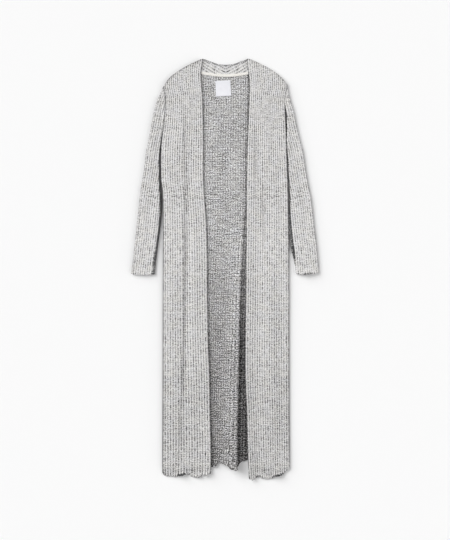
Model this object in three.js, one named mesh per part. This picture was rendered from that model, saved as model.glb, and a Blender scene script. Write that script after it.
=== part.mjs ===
// A duster cardigan in ribbed marl knit, laid out flat and open, face up.
// Millimetres. X runs to the right as it is seen, Y from the hem to the neck, Z up from the table.
// Left and right are the viewer's. The origin is the middle of the laid garment, on the table.
import * as THREE from "three";

// Driving sizes
const cloth = {
  wall: 1.8, // from the plain side to a rib's groove
  rib: 1.2, // from a rib's groove to its crest
  hidden: 0.4, // what stands in for the ribs where another piece covers them
  seamGap: 0.3, // between two pieces that are sewn together
  armholeGap: 0.8, // between the body and a sleeve, whose seam curves
  collarGap: 0.7, // between the back's neckline and the collar, whose seam curves too
};
const lay = {
  frontAtEdge: 3.5, // height of a front's plain side along its side seam
  puff: 2.1, // how much higher it lies away from the seam
  backAtEdge: 1, // height of the back's plain side along the side seam
  roll: 8, // width of the rounded edge along seams and folds
  foldBulge: 1, // how far a sleeve's folded edge swells out
};
// Ribs, counted across each piece; those of the back are raised between a first and a last one
const ribs = {
  front: 18,
  sleeve: 11,
  backLeftOfTuck: 32,
  backRightOfTuck: 18,
  backFirstRaised: 14,
  backLastRaised: 37,
};
// The wales of the back between which its neckline steps down from the shoulders to the collar's seam
const notch = { left: { head: 14, foot: 14.5 }, right: { head: 35.5, foot: 35 } };
const shoulderPoint = { out: 188.5, y: 543 };
const shoulderSlope = THREE.MathUtils.degToRad(30);
const underarmY = 385;
const tape = { width: 7.5, thickness: 0.8, left: -79, right: 74, stations: 18 };
const label = { x: -7.4, y: 540.3, width: 45.5, height: 46.5, turn: 3, thickness: 0.6 };

// Side seams up to the underarm, and armhole seams from there to the shoulder point
const sides = [
  { y: -630, left: -189, right: 190 },
  { y: -300, left: -188, right: 189 },
  { y: 0, left: -187.5, right: 188 },
  { y: 120, left: -187, right: 187.5 },
  { y: 222, left: -188, right: 186 },
  { y: 246, left: -191, right: 185.5 },
  { y: 268, left: -193.5, right: 184.8 },
  { y: 310, left: -194.3, right: 183.2 },
  { y: 352, left: -193.8, right: 181.5 },
  { y: underarmY, left: -191.5, right: 180.5 },
  { y: 405, left: -189, right: 179.8 },
  { y: 430, left: -185.5, right: 179 },
  { y: 475, left: -182.3, right: 177 },
  { y: 505, left: -181, right: 176.5 },
  { y: 525, left: -183, right: 180 },
  { y: shoulderPoint.y, left: -shoulderPoint.out, right: shoulderPoint.out },
];

// Front edges, from the hem to the neck points
const openings = [
  { y: -630, left: -50, right: 83 },
  { y: -580, left: -48, right: 73.5 },
  { y: -530, left: -47.5, right: 68.5 },
  { y: -440, left: -48.5, right: 65.5 },
  { y: -330, left: -49.5, right: 60 },
  { y: -225, left: -52.5, right: 58.5 },
  { y: -120, left: -54.5, right: 60 },
  { y: 65, left: -56.5, right: 62 },
  { y: 150, left: -59.5, right: 63 },
  { y: 225, left: -64.5, right: 63.5 },
  { y: 290, left: -66, right: 64 },
  { y: 380, left: -66, right: 66 },
  { y: 470, left: -69, right: 70 },
  { y: 520, left: -70.5, right: 72 },
  { y: 555, left: -73.5, right: 72.5 },
  { y: 583, left: -75, right: 69.5 },
  { y: 606, left: -73, right: 67 },
  { y: 629, left: -68, right: 65 },
];

// Shoulder line, by distance from the centre
const shoulder = [
  { out: 60, y: 630 },
  { out: 76, y: 626 },
  { out: 97, y: 616.5 },
  { out: 119, y: 605.5 },
  { out: 140, y: 593 },
  { out: 162, y: 577 },
  { out: 178, y: 560.5 },
  { out: shoulderPoint.out, y: shoulderPoint.y },
];

// Hem lines with the scallops of their rolled edges, and how far each wave lifts off the cloth below
const hems = {
  left: [
    { x: -190, y: -606, lift: 0.3 },
    { x: -184, y: -615, lift: 0.2 },
    { x: -168, y: -620, lift: 0.2 },
    { x: -152, y: -623, lift: 1.5 },
    { x: -143, y: -616, lift: 6.5 },
    { x: -132, y: -611, lift: 7.5 },
    { x: -121, y: -607, lift: 6 },
    { x: -113, y: -611, lift: 2 },
    { x: -104, y: -619, lift: 0.6 },
    { x: -94, y: -624, lift: 1 },
    { x: -84, y: -625, lift: 3.5 },
    { x: -76, y: -622, lift: 4.2 },
    { x: -70.5, y: -612, lift: 0.5 },
    { x: -65, y: -617, lift: 4.4 },
    { x: -58, y: -617, lift: 5 },
    { x: -50, y: -614, lift: 4 },
  ],
  right: [
    { x: 80, y: -617, lift: 4 },
    { x: 84, y: -628.5, lift: 4 },
    { x: 88, y: -628.5, lift: 2.5 },
    { x: 91, y: -623, lift: 0.3 },
    { x: 96, y: -622.5, lift: 2.2 },
    { x: 108, y: -622, lift: 1.6 },
    { x: 118, y: -625, lift: 0.8 },
    { x: 130, y: -628.5, lift: 0.5 },
    { x: 141, y: -626, lift: 1.5 },
    { x: 147, y: -619, lift: 5.5 },
    { x: 156, y: -616.5, lift: 6.5 },
    { x: 166, y: -613, lift: 5 },
    { x: 174, y: -609, lift: 1.6 },
    { x: 181, y: -603, lift: 0.3 },
    { x: 190, y: -593, lift: 0.2 },
  ],
  back: [
    { x: -190, y: -588, lift: 0 },
    { x: -62, y: -592, lift: 0 },
    { x: -50, y: -590, lift: 2.5 },
    { x: -38, y: -592, lift: 4.2 },
    { x: -30, y: -589, lift: 3.2 },
    { x: -24, y: -580, lift: 0.6 },
    { x: -20, y: -577, lift: 0.4 },
    { x: -12, y: -579, lift: 1.2 },
    { x: 0, y: -584, lift: 2.4 },
    { x: 7, y: -588, lift: 2.8 },
    { x: 12, y: -600, lift: 2 },
    { x: 24, y: -603, lift: 1 },
    { x: 31, y: -601, lift: 0.5 },
    { x: 37, y: -594, lift: 0 },
    { x: 46, y: -580, lift: 0 },
    { x: 60, y: -574, lift: 0.8 },
    { x: 72, y: -568, lift: 1.2 },
    { x: 90, y: -580, lift: 0 },
    { x: 190, y: -588, lift: 0 },
  ],
};

// Long tuck in the back, right of the middle: its folded edge before it leans, and how high it stands
const tuck = [
  { y: -600, x: 26, height: 19 },
  { y: -513, x: 27, height: 17.5 },
  { y: -393, x: 31, height: 15 },
  { y: -273, x: 35, height: 12.5 },
  { y: -147, x: 39, height: 10 },
  { y: -33, x: 44, height: 7 },
  { y: 117, x: 51, height: 3 },
  { y: 207, x: 53.5, height: 0 },
  { y: 600, x: 53.5, height: 0 },
];
// The fold leans to the right by a share of its height, and hangs over the strip beside it
const tuckShape = { slopeWidth: 62, dropWidth: 6, lean: 0.6, leanWidth: 16 };

// How high each front edge is lifted off the back
const edgeLift = [
  { y: -620, left: 3.5, right: 8 },
  { y: -520, left: 2.5, right: 7.5 },
  { y: -400, left: 1, right: 6 },
  { y: -250, left: 0.5, right: 4.5 },
  { y: -100, left: 0.3, right: 3 },
  { y: 100, left: 0, right: 1.2 },
  { y: 240, left: 0, right: 0 },
  { y: 629, left: 0, right: 0 },
];
const edgeLiftWidth = 36;

// Long soft creases in the fronts, as troughs (below 0) and ridges (above 0)
const creases = {
  left: [
    { top: 500, topX: -126, bottom: -40, bottomX: -118, width: 9, height: -2 },
    { top: 60, topX: -119, bottom: -600, bottomX: -140, width: 10, height: -1.9 },
    { top: 430, topX: -141, bottom: -560, bottomX: -152, width: 14, height: 0.7 },
    { top: 330, topX: -103, bottom: -420, bottomX: -108, width: 12, height: 0.7 },
  ],
  right: [
    { top: 470, topX: 88, bottom: 150, bottomX: 86, width: 8, height: -1.6 },
    { top: 270, topX: 111, bottom: 20, bottomX: 112, width: 8, height: -1.5 },
    { top: -60, topX: 150, bottom: -560, bottomX: 158, width: 16, height: -1.2 },
    { top: 380, topX: 146, bottom: -120, bottomX: 140, width: 15, height: 0.7 },
    { top: -260, topX: 116, bottom: -600, bottomX: 120, width: 16, height: 0.7 },
  ],
};
const creaseFade = 110;

// How far above each edge its waves die out
const ruffle = {
  hemReach: 40,
  cuffReach: 24,
  hiddenFade: 14, // over which the back's waves die out towards the fronts that lie on it
};
const hemDrop = { from: -588, to: -614, by: 3.2 }; // past the back's hem a front sinks to the table

// Sleeves: their folded edges from the armhole to the cuff
const sleeveOuter = [
  { y: shoulderPoint.y, left: -shoulderPoint.out, right: shoulderPoint.out },
  { y: 522, left: -199, right: 194.5 },
  { y: 496, left: -208.5, right: 201.5 },
  { y: 470, left: -215, right: 209 },
  { y: 430, left: -222.5, right: 216 },
  { y: 387, left: -231, right: 228 },
  { y: 350, left: -238, right: 235 },
  { y: 297, left: -244.5, right: 243 },
  { y: 250, left: -252, right: 250 },
  { y: 207, left: -258, right: 258.5 },
  { y: 125, left: -266.5, right: 267.5 },
  { y: 50, left: -275, right: 277 },
  { y: -12, left: -282.5, right: 282.5 },
];
const sleeveInner = [
  { y: underarmY, left: -192.3, right: 181.2 },
  { y: 352, left: -196, right: 184 },
  { y: 310, left: -197, right: 186 },
  { y: 268, left: -196.5, right: 187.5 },
  { y: 246, left: -194.5, right: 188.6 },
  { y: 222, left: -191.5, right: 189.6 },
  { y: 190, left: -190.5, right: 190.8 },
  { y: 162, left: -191.5, right: 192.5 },
  { y: 117, left: -196, right: 196.5 },
  { y: 57, left: -203.5, right: 205.5 },
  { y: -16, left: -210.5, right: 214 },
];
const cuffs = {
  left: [
    { across: 0, y: -10, lift: 0.4 },
    { across: 0.17, y: -15, lift: 0.5 },
    { across: 0.36, y: -20, lift: 0.3 },
    { across: 0.64, y: -21, lift: 0.6 },
    { across: 0.9, y: -18, lift: 0.4 },
    { across: 1, y: -12, lift: 0.2 },
  ],
  right: [
    { across: 0, y: -9, lift: 0.2 },
    { across: 0.1, y: -13.5, lift: 0.3 },
    { across: 0.28, y: -14.5, lift: 0.6 },
    { across: 0.43, y: -12.5, lift: 2.6 },
    { across: 0.55, y: -13, lift: 3.4 },
    { across: 0.67, y: -15, lift: 2.4 },
    { across: 0.85, y: -18, lift: 0.5 },
    { across: 1, y: -16, lift: 0.2 },
  ],
};
const sleeve = {
  courses: 20,
  turn: 1.9, // how soon the courses turn from along the armhole to across the sleeve
  capShare: 0.16, // share of the length over which the armhole's curve fades out
  crowding: 0.06, // how much closer the courses lie at the armhole and the cuff
  cuffY: -14,
  cuffFrom: 0.8, // share of the length past which the courses take the cuff's own line
  puffAtCuff: 0.8,
  foldInset: 0.035, // share of the width from a fold to the first inside wale
  undersideColumns: 6,
};
// The underarm crease, where the sleeve is folded down beside the body
const underarmCrease = { left: { from: 400, to: 380 }, right: { from: 490, to: 440 }, width: 2.7 };

// Back neck, by distance from the centre
const neckline = [
  { out: 0, seam: 577.5, top: 610.3 },
  { out: 20, seam: 578.2, top: 612.3 },
  { out: 34, seam: 580, top: 616 },
  { out: 46, seam: 581.8, top: 621 },
  { out: 57, seam: 583.8, top: 624.8 },
  { out: 66, seam: 585.5, top: 627.5 },
  { out: 81, seam: 589, top: 624 },
];

// The collar's ribs climb by half a rib at each station from the centre back, so they meet there in a V
const collarGrid = { stations: 9, halfRibs: 8, plainWales: 5 };

// Courses of a panel: distances from its hem and from its top where the cloth bends most, and the
// longest step between them
const coursesAt = {
  fromHem: [0, 5, 12, 21, 33, 50, 75],
  fromTop: [0, 3, 8, 18, 31, 48, 72, 100, 130, 165],
  step: 75,
};
const panelLength = { front: 1220, back: 1180 };
// Near which height each panel's lower and upper ends are looked for, and the collar's
const nearEnd = { hem: -600, neck: 590, collarTop: 620 };
// Wales of the back that are modelled beside the raised ones: on its shown side, and on its plain side
const backWales = {
  leftOfRaised: [0, 3.5, 7, 10.5],
  rightOfRaised: [40, 43.5, 47],
  plainLeft: [0, 7, 14, 14.5, 18, 22, 25, 26, 27, 28, 29, 30, 31],
  plainRight: [32, 32.5, 33, 34, 35, 35.5, 43.5],
};

// Yarn and trim colours
const finish = {
  knit: { color: 0xc3c2c0, roughness: 0.95, metalness: 0 },
  knitInside: { color: 0xb0afae, roughness: 0.95, metalness: 0 },
  tape: { color: 0xeae6de, roughness: 0.85, metalness: 0 },
  label: { color: 0xf1f1f4, roughness: 0.7, metalness: 0 },
};

// Reading tables

const clamp = THREE.MathUtils.clamp;
const lerp = THREE.MathUtils.lerp;

// A smooth curve through the rows of a table, giving column `key` for a value of column `by`
function through(rows, by, key) {
  const sorted = [...rows].sort((a, b) => a[by] - b[by]);
  const lastRow = sorted.length - 1;
  const slopes = sorted.map((row, i) => {
    const before = sorted[Math.max(i - 1, 0)];
    const after = sorted[Math.min(i + 1, lastRow)];
    return (after[key] - before[key]) / (after[by] - before[by]);
  });
  return (value) => {
    const at = clamp(value, sorted[0][by], sorted[lastRow][by]);
    let i = 0;
    while (i < lastRow - 1 && sorted[i + 1][by] < at) i += 1;
    const span = sorted[i + 1][by] - sorted[i][by];
    const t = (at - sorted[i][by]) / span;
    const t2 = t * t;
    const t3 = t2 * t;
    return (
      (2 * t3 - 3 * t2 + 1) * sorted[i][key] +
      (t3 - 2 * t2 + t) * span * slopes[i] +
      (3 * t2 - 2 * t3) * sorted[i + 1][key] +
      (t3 - t2) * span * slopes[i + 1]
    );
  };
}

const sideX = { left: through(sides, "y", "left"), right: through(sides, "y", "right") };
const openingX = { left: through(openings, "y", "left"), right: through(openings, "y", "right") };
const shoulderY = through(shoulder, "out", "y");
const hemY = {
  left: through(hems.left, "x", "y"),
  right: through(hems.right, "x", "y"),
  back: through(hems.back, "x", "y"),
};
const hemLift = {
  left: through(hems.left, "x", "lift"),
  right: through(hems.right, "x", "lift"),
  back: through(hems.back, "x", "lift"),
};
const tuckX = through(tuck, "y", "x");
const tuckHeight = through(tuck, "y", "height");
const liftOf = { left: through(edgeLift, "y", "left"), right: through(edgeLift, "y", "right") };
const outerX = { left: through(sleeveOuter, "y", "left"), right: through(sleeveOuter, "y", "right") };
const innerX = { left: through(sleeveInner, "y", "left"), right: through(sleeveInner, "y", "right") };
const cuffY = { left: through(cuffs.left, "across", "y"), right: through(cuffs.right, "across", "y") };
const cuffLift = {
  left: through(cuffs.left, "across", "lift"),
  right: through(cuffs.right, "across", "lift"),
};
const seamY = through(neckline, "out", "seam");
const collarTopY = through(neckline, "out", "top");

// Heights of the cloth's plain side

const ease = (t) => THREE.MathUtils.smoothstep(t, 0, 1);

// 1 on a seam or fold, falling to 0 where the rounded edge ends
const rolled = (distance) => (1 - clamp(distance / lay.roll, 0, 1)) ** 2;

// Distance from a point of the body to its nearest side seam, armhole or shoulder line
function fromOutline(x, y) {
  const side = x < 0 ? "left" : "right";
  const toSide = Math.abs(sideX[side](y) - x);
  const toShoulder = (shoulderY(Math.abs(x)) - y) * Math.cos(shoulderSlope);
  return Math.max(Math.min(toSide, toShoulder), 0);
}

// What is left of an edge's wave at a distance above the edge
const wave = (lift, above, reach) => Math.max(lift, 0) * (1 - clamp(above / reach, 0, 1)) ** 2;

const hemWave = (name, x, y) => wave(hemLift[name](x), y - hemY[name](x), ruffle.hemReach);

function tuckLift(x, y) {
  const past = x - tuckX(y);
  const share =
    past < 0
      ? 0.5 + 0.5 * Math.cos(Math.PI * clamp(-past / tuckShape.slopeWidth, 0, 1))
      : 1 - ease(past / tuckShape.dropWidth);
  return Math.max(tuckHeight(y), 0) * share;
}

// How far the tuck's fold leans to the right
function leanOver(x, y) {
  const past = x - tuckX(y);
  const share =
    past < 0 ? ease(1 + past / tuckShape.leanWidth) : 1 - ease(past / tuckShape.dropWidth);
  return tuckShape.lean * Math.max(tuckHeight(y), 0) * share;
}

function backHeight(x, y) {
  const inOpening = Math.min(x - openingX.left(y), openingX.right(y) - x);
  const shown = ease(inOpening / ruffle.hiddenFade);
  return lay.backAtEdge * rolled(fromOutline(x, y)) + tuckLift(x, y) + hemWave("back", x, y) * shown;
}

function creaseLift(side, x, y) {
  let lift = 0;
  for (const crease of creases[side]) {
    const down = (crease.top - y) / (crease.top - crease.bottom);
    const middle = lerp(crease.topX, crease.bottomX, down);
    const near = Math.min(crease.top - y, y - crease.bottom) / creaseFade;
    lift += crease.height * ease(near) * Math.exp(-(((x - middle) / crease.width) ** 2));
  }
  return lift;
}

function frontHeight(side, x, y) {
  const sunk = hemDrop.by * ease((hemDrop.from - y) / (hemDrop.from - hemDrop.to));
  const inset = clamp(Math.abs(x - openingX[side](y)) / edgeLiftWidth, 0, 1);
  const lifted = Math.max(liftOf[side](y), 0) * (1 - inset) ** 2;
  const lying = lay.puff * (1 - rolled(fromOutline(x, y))) + creaseLift(side, x, y);
  return lay.frontAtEdge - sunk + lying * (1 - sunk / hemDrop.by) + lifted + hemWave(side, x, y);
}

// Building closed walls

// The triangles of a cloth wall between an outer and an inner net of points. A net is a list of courses, and
// a course a list of points [x, y, z] with a share of the way across or round, which pairs the two nets.
function clothWall(outer, inner, isTube) {
  const points = [];
  const index = [];
  const number = (net) =>
    net.map((course) =>
      course.map((point) => ({ id: points.push(point.at) - 1, share: point.share })),
    );
  const outside = number(outer);
  const inside = number(inner);
  const face = (a, b, c, turned) =>
    turned ? index.push(a.id, c.id, b.id) : index.push(a.id, b.id, c.id);

  const surface = (net, turned) => {
    for (let j = 0; j + 1 < net.length; j += 1) {
      const across = net[j].length;
      for (let i = 0; i + (isTube ? 0 : 1) < across; i += 1) {
        const next = (i + 1) % across;
        face(net[j][i], net[j][next], net[j + 1][next], turned);
        face(net[j][i], net[j + 1][next], net[j + 1][i], turned);
      }
    }
  };
  surface(outside, false);
  surface(inside, true);

  // A rim joins the two nets at an end, taking the next point from whichever net is behind
  const rim = (out, inn, turned) => {
    const closed = (course) =>
      isTube ? [...course, { id: course[0].id, share: course[0].share + 1 }] : course;
    const a = closed(out);
    const b = closed(inn);
    let i = 0;
    let k = 0;
    while (i + 1 < a.length || k + 1 < b.length) {
      const takeOuter =
        k + 1 >= b.length || (i + 1 < a.length && a[i + 1].share <= b[k + 1].share);
      if (takeOuter) {
        face(a[i + 1], a[i], b[k], turned);
        i += 1;
      } else {
        face(b[k], b[k + 1], a[i], turned);
        k += 1;
      }
    }
  };
  rim(outside[0], inside[0], false);
  rim(outside.at(-1), inside.at(-1), true);

  if (!isTube) {
    for (let j = 0; j + 1 < outside.length; j += 1) {
      const edge = (net, end) => [net[j].at(end), net[j + 1].at(end)];
      const [a, d] = edge(outside, 0);
      const [aIn, dIn] = edge(inside, 0);
      face(a, d, dIn, false);
      face(a, dIn, aIn, false);
      const [b, c] = edge(outside, -1);
      const [bIn, cIn] = edge(inside, -1);
      face(c, b, bIn, false);
      face(c, bIn, cIn, false);
    }
  }
  return facingOut(points, index);
}

// A geometry from points and triangles, turned so that its faces point out of the solid
function facingOut(points, index) {
  let volume = 0;
  for (let i = 0; i < index.length; i += 3) {
    const [a, b, c] = [0, 1, 2].map((k) => new THREE.Vector3(...points[index[i + k]]));
    volume += a.dot(b.cross(c));
  }
  const order = volume < 0 ? [...index].reverse() : index;
  const geometry = new THREE.BufferGeometry();
  geometry.setAttribute("position", new THREE.Float32BufferAttribute(points.flat(), 3));
  geometry.setIndex(order);
  geometry.computeVertexNormals();
  return geometry;
}

const garment = new THREE.Group();

function addPiece(name, look, geometry) {
  const mesh = new THREE.Mesh(geometry, new THREE.MeshStandardMaterial(look));
  mesh.name = name;
  garment.add(mesh);
}

// Courses from the hem to the top, as shares of the way up
function coursesOf(height) {
  const low = coursesAt.fromHem.at(-1);
  const high = height - coursesAt.fromTop.at(-1);
  const count = Math.round((high - low) / coursesAt.step);
  const middle = Array.from({ length: count - 1 }, (_, i) => lerp(low, high, (i + 1) / count));
  const nearTop = coursesAt.fromTop.map((down) => height - down).reverse();
  return [...coursesAt.fromHem, ...middle, ...nearTop].map((level) => level / height);
}

// Where a wale meets a boundary y = line(x): the wale's x depends on y, so this is found by repeating
function meeting(waleX, line, start) {
  let y = start;
  for (let i = 0; i < 8; i += 1) y = line(waleX(y));
  return y;
}

// A net over a panel: `wales` lists how far across each column lies, and `lift` says how high the cloth is
function panelNet(wales, courses, waleX, lowLine, highLine, lift) {
  const ends = wales.map((wale) => {
    const xAt = (y) => waleX(wale, y);
    const top = (x) => highLine(x, wale);
    return { low: meeting(xAt, lowLine, nearEnd.hem), high: meeting(xAt, top, nearEnd.neck) };
  });
  return courses.map((level) =>
    wales.map((wale, i) => {
      const y = lerp(ends[i].low, ends[i].high, level);
      const x = waleX(wale, y);
      return { at: [x, y, lift(x, y, wale)], share: wale };
    }),
  );
}

const halves = (from, to) => Array.from({ length: (to - from) * 2 + 1 }, (_, i) => from + i / 2);
const wholes = (from, to) => Array.from({ length: to - from + 1 }, (_, i) => from + i);
const isCrest = (wale) => !Number.isInteger(wale);

// Fronts: ribs run from the hem to the shoulder, between the side seam and the open edge

function frontPanel(side) {
  const waleX = (wale, y) => lerp(sideX[side](y), openingX[side](y), wale / ribs.front);
  const top = (x) => shoulderY(Math.abs(x));
  const courses = coursesOf(panelLength.front);
  const under = (x, y) => frontHeight(side, x, y);
  const over = (x, y, wale) => under(x, y) + cloth.wall + (isCrest(wale) ? cloth.rib : 0);
  const outer = panelNet(halves(0, ribs.front), courses, waleX, hemY[side], top, over);
  const inner = panelNet(wholes(0, ribs.front), courses, waleX, hemY[side], top, under);
  return clothWall(outer, inner, false);
}

// Back: its ribs are raised on the inside of the garment, which shows between the fronts

function backWaleX(wale, y) {
  const pastTuck = wale - ribs.backLeftOfTuck;
  return pastTuck <= 0
    ? lerp(sideX.left(y), tuckX(y), wale / ribs.backLeftOfTuck)
    : lerp(tuckX(y), sideX.right(y), pastTuck / ribs.backRightOfTuck);
}

// Moves the points of a course off the cloth's plain side, square to the course as it is seen end on
function offCourse(course, amountAt) {
  const normals = course.slice(1).map((point, i) => {
    const dx = point.at[0] - course[i].at[0];
    const dz = point.at[2] - course[i].at[2];
    return new THREE.Vector2(-dz, dx).normalize();
  });
  return course.map((point, i) => {
    const before = normals[Math.max(i - 1, 0)];
    const after = normals[Math.min(i, normals.length - 1)];
    const between = before.clone().add(after).normalize();
    const amount = amountAt(point) / between.dot(after);
    const [x, y, z] = point.at;
    return { at: [x + between.x * amount, y, z + between.y * amount], share: point.share };
  });
}

function backPanel() {
  const lastWale = ribs.backLeftOfTuck + ribs.backRightOfTuck;
  const raised = halves(ribs.backFirstRaised, ribs.backLastRaised);
  const shownWales = [...backWales.leftOfRaised, ...raised, ...backWales.rightOfRaised, lastWale];
  const underWales = [...backWales.plainLeft, ...backWales.plainRight, lastWale];
  const top = (x, wale) => {
    const isShoulder = wale <= notch.left.head || wale >= notch.right.head;
    return isShoulder ? shoulderY(Math.abs(x)) : seamY(Math.abs(x));
  };
  const courses = coursesOf(panelLength.back);
  const relief = (x, y, wale) => {
    const isRaised = wale > ribs.backFirstRaised && wale < ribs.backLastRaised;
    if (!isRaised) return cloth.hidden;
    return isCrest(wale) ? lerp(cloth.rib, cloth.hidden, rolled(fromOutline(x, y))) : 0;
  };
  const plainSide = (wales) => {
    const net = panelNet(wales, courses, backWaleX, hemY.back, top, backHeight);
    const lean = ([x, y, z]) => [x + leanOver(x, y), y, z];
    return net.map((course) => course.map(({ at, share }) => ({ at: lean(at), share })));
  };
  const amountAt = ({ at: [x, y], share }) => cloth.wall + relief(x, y, share);
  const shown = plainSide(shownWales).map((course) => offCourse(course, amountAt));
  return clothWall(shown, plainSide(underWales), false);
}

// Sleeves: flattened tubes whose first course follows the armhole and whose last one is the cuff.
// `across` runs from the outer fold (0) to the inner one (1), and `along` from the armhole to the cuff.

function sleevePoint(side, across, along, layer) {
  const innerY = lerp(underarmY, sleeve.cuffY, along);
  const outerY = innerY + (shoulderPoint.y - underarmY) * (1 - along) ** sleeve.turn;
  const y = lerp(outerY, innerY, across);
  const nearCuff = ease((along - sleeve.cuffFrom) / (1 - sleeve.cuffFrom));
  const shapedY = y + nearCuff * (cuffY[side](across) - sleeve.cuffY);

  // Between its folds the sleeve is straight, but its first course follows the armhole
  const straight = lerp(outerX[side](outerY), innerX[side](innerY), across);
  const armholeStraight = lerp(outerX[side](shoulderPoint.y), innerX[side](underarmY), across);
  const crease = underarmCrease[side];
  const creased = layer === "top" ? ease((crease.from - y) / (crease.from - crease.to)) : 0;
  const outward = side === "left" ? -1 : 1;
  const gap = cloth.armholeGap + underarmCrease.width * creased;
  const armhole = sideX[side](y) + outward * gap;
  const nearArmhole = (1 - clamp(along / sleeve.capShare, 0, 1)) ** 2;
  return [straight + (armhole - armholeStraight) * nearArmhole, shapedY];
}

function sleeveTube(side) {
  const alongs = wholes(0, sleeve.courses).map((i) => {
    const even = i / sleeve.courses;
    return even - sleeve.crowding * Math.sin(2 * Math.PI * even);
  });
  const outward = side === "left" ? -1 : 1;
  const edgeDistance = (x, y, along) => {
    const toOuter = Math.abs(outerX[side](y) - x);
    const toInner = y < underarmY ? Math.abs(innerX[side](y) - x) : lay.roll;
    const toArmhole = along * (underarmY - sleeve.cuffY);
    return Math.min(toOuter, toInner, toArmhole);
  };
  const puff = (along) =>
    lerp(lay.puff, sleeve.puffAtCuff, ease((along - sleeve.cuffFrom) / (1 - sleeve.cuffFrom)));
  const topUnder = (across, along) => {
    const [x, y] = sleevePoint(side, across, along, "top");
    const lift = puff(along) * (1 - rolled(edgeDistance(x, y, along)));
    const rolledCuff = wave(cuffLift[side](across), y - cuffY[side](across), ruffle.cuffReach);
    return [x, y, lay.frontAtEdge + lift + rolledCuff];
  };
  const bottomUnder = (across, along) => {
    const [x, y] = sleevePoint(side, across, along, "bottom");
    return [x, y, lay.backAtEdge * rolled(edgeDistance(x, y, along))];
  };
  const raise = ([x, y, z], by) => [x, y, z + by];
  const bulge = (across, along) => {
    const [x, y] = sleevePoint(side, across, along, "bottom");
    const swell = along === 0 ? 0 : lay.foldBulge;
    const out = across === 0 ? outward : -outward;
    return [x + out * swell, y, (lay.frontAtEdge + cloth.wall + lay.backAtEdge) / 2];
  };
  const foldShare = 0.5;
  const topWales = halves(0, ribs.sleeve);
  const insideWales = wholes(0, ribs.sleeve);
  const lowShares = wholes(0, sleeve.undersideColumns).map((i) => i / sleeve.undersideColumns);
  const inset = (share) => lerp(sleeve.foldInset, 1 - sleeve.foldInset, share);

  const outer = alongs.map((along) => [
    { at: bulge(0, along), share: 0 },
    ...topWales.map((wale) => ({
      at: raise(topUnder(wale / ribs.sleeve, along), cloth.wall + (isCrest(wale) ? cloth.rib : 0)),
      share: 0.01 + (0.48 * wale) / ribs.sleeve,
    })),
    { at: bulge(1, along), share: foldShare },
    ...lowShares.map((share) => ({
      at: bottomUnder(1 - share, along),
      share: 0.51 + 0.48 * share,
    })),
  ]);
  const inner = alongs.map((along) => [
    ...insideWales.map((wale) => ({
      at: topUnder(inset(wale / ribs.sleeve), along),
      share: 0.01 + (0.48 * wale) / ribs.sleeve,
    })),
    ...lowShares.map((share) => ({
      at: raise(bottomUnder(inset(1 - share), along), cloth.wall),
      share: 0.51 + 0.48 * share,
    })),
  ]);
  return clothWall(outer, inner, true);
}

// Collar: grown on from the fronts, its ribs run round the back neck to a join at the centre

function collarHalf(side) {
  const outward = side === "left" ? -1 : 1;
  const start = outward * cloth.seamGap * 0.5;
  const foot = backWaleX(notch[side].foot, nearEnd.neck) - outward * 2 * cloth.seamGap;
  const head = backWaleX(notch[side].head, nearEnd.collarTop) - outward * 2 * cloth.seamGap;
  const net = (steps, lift) =>
    wholes(0, collarGrid.stations).map((station) =>
      wholes(0, steps).map((step) => {
        const up = step / steps;
        const x = lerp(start, lerp(foot, head, up), station / collarGrid.stations);
        const low = seamY(Math.abs(x)) + cloth.collarGap;
        const high = Math.min(collarTopY(Math.abs(x)), shoulderY(Math.abs(x)));
        const y = lerp(low, high, up);
        return { at: [x, y, lift(high - y, station, step)], share: up };
      }),
    );
  const under = (fromTop) => lay.backAtEdge * rolled(fromTop);
  // The last station lies under a front, so it has no ribs
  const over = (fromTop, station, step) => {
    const isRib = (step + station) % 2 === 1 && station < collarGrid.stations;
    return under(fromTop) + cloth.wall + (isRib ? cloth.rib : 0);
  };
  return clothWall(net(collarGrid.halfRibs, over), net(collarGrid.plainWales, under), false);
}

// Trims lie on the crests of the ribs, a seam gap above them
const trimBase = cloth.wall + cloth.rib + cloth.seamGap;

function neckTape() {
  const net = (height) =>
    wholes(0, tape.stations).map((j) => {
      const x = lerp(tape.left, tape.right, j / tape.stations);
      const middle = seamY(Math.abs(x)) + cloth.seamGap / 2;
      return [-0.5, 0.5].map((share) => ({
        at: [x, middle + tape.width * share, height],
        share,
      }));
    });
  return clothWall(net(trimBase + tape.thickness), net(trimBase), false);
}

function neckLabel() {
  const turn = THREE.MathUtils.degToRad(label.turn);
  const corner = (across, up, height) => {
    const dx = (across - 0.5) * label.width;
    const dy = (up - 0.5) * label.height;
    const x = label.x + dx * Math.cos(turn) - dy * Math.sin(turn);
    const y = label.y + dx * Math.sin(turn) + dy * Math.cos(turn);
    return { at: [x, y, height], share: across };
  };
  const net = (height) => [0, 1].map((up) => [0, 1].map((across) => corner(across, up, height)));
  return clothWall(net(trimBase + label.thickness), net(trimBase), false);
}

addPiece("back", finish.knitInside, backPanel());
for (const side of ["left", "right"]) {
  addPiece("front_" + side, finish.knit, frontPanel(side));
  addPiece("sleeve_" + side, finish.knit, sleeveTube(side));
  addPiece("collar_" + side, finish.knit, collarHalf(side));
}
addPiece("neck_tape", finish.tape, neckTape());
addPiece("neck_label", finish.label, neckLabel());

export default garment;
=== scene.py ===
from math import cos, pi, radians, sin

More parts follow.
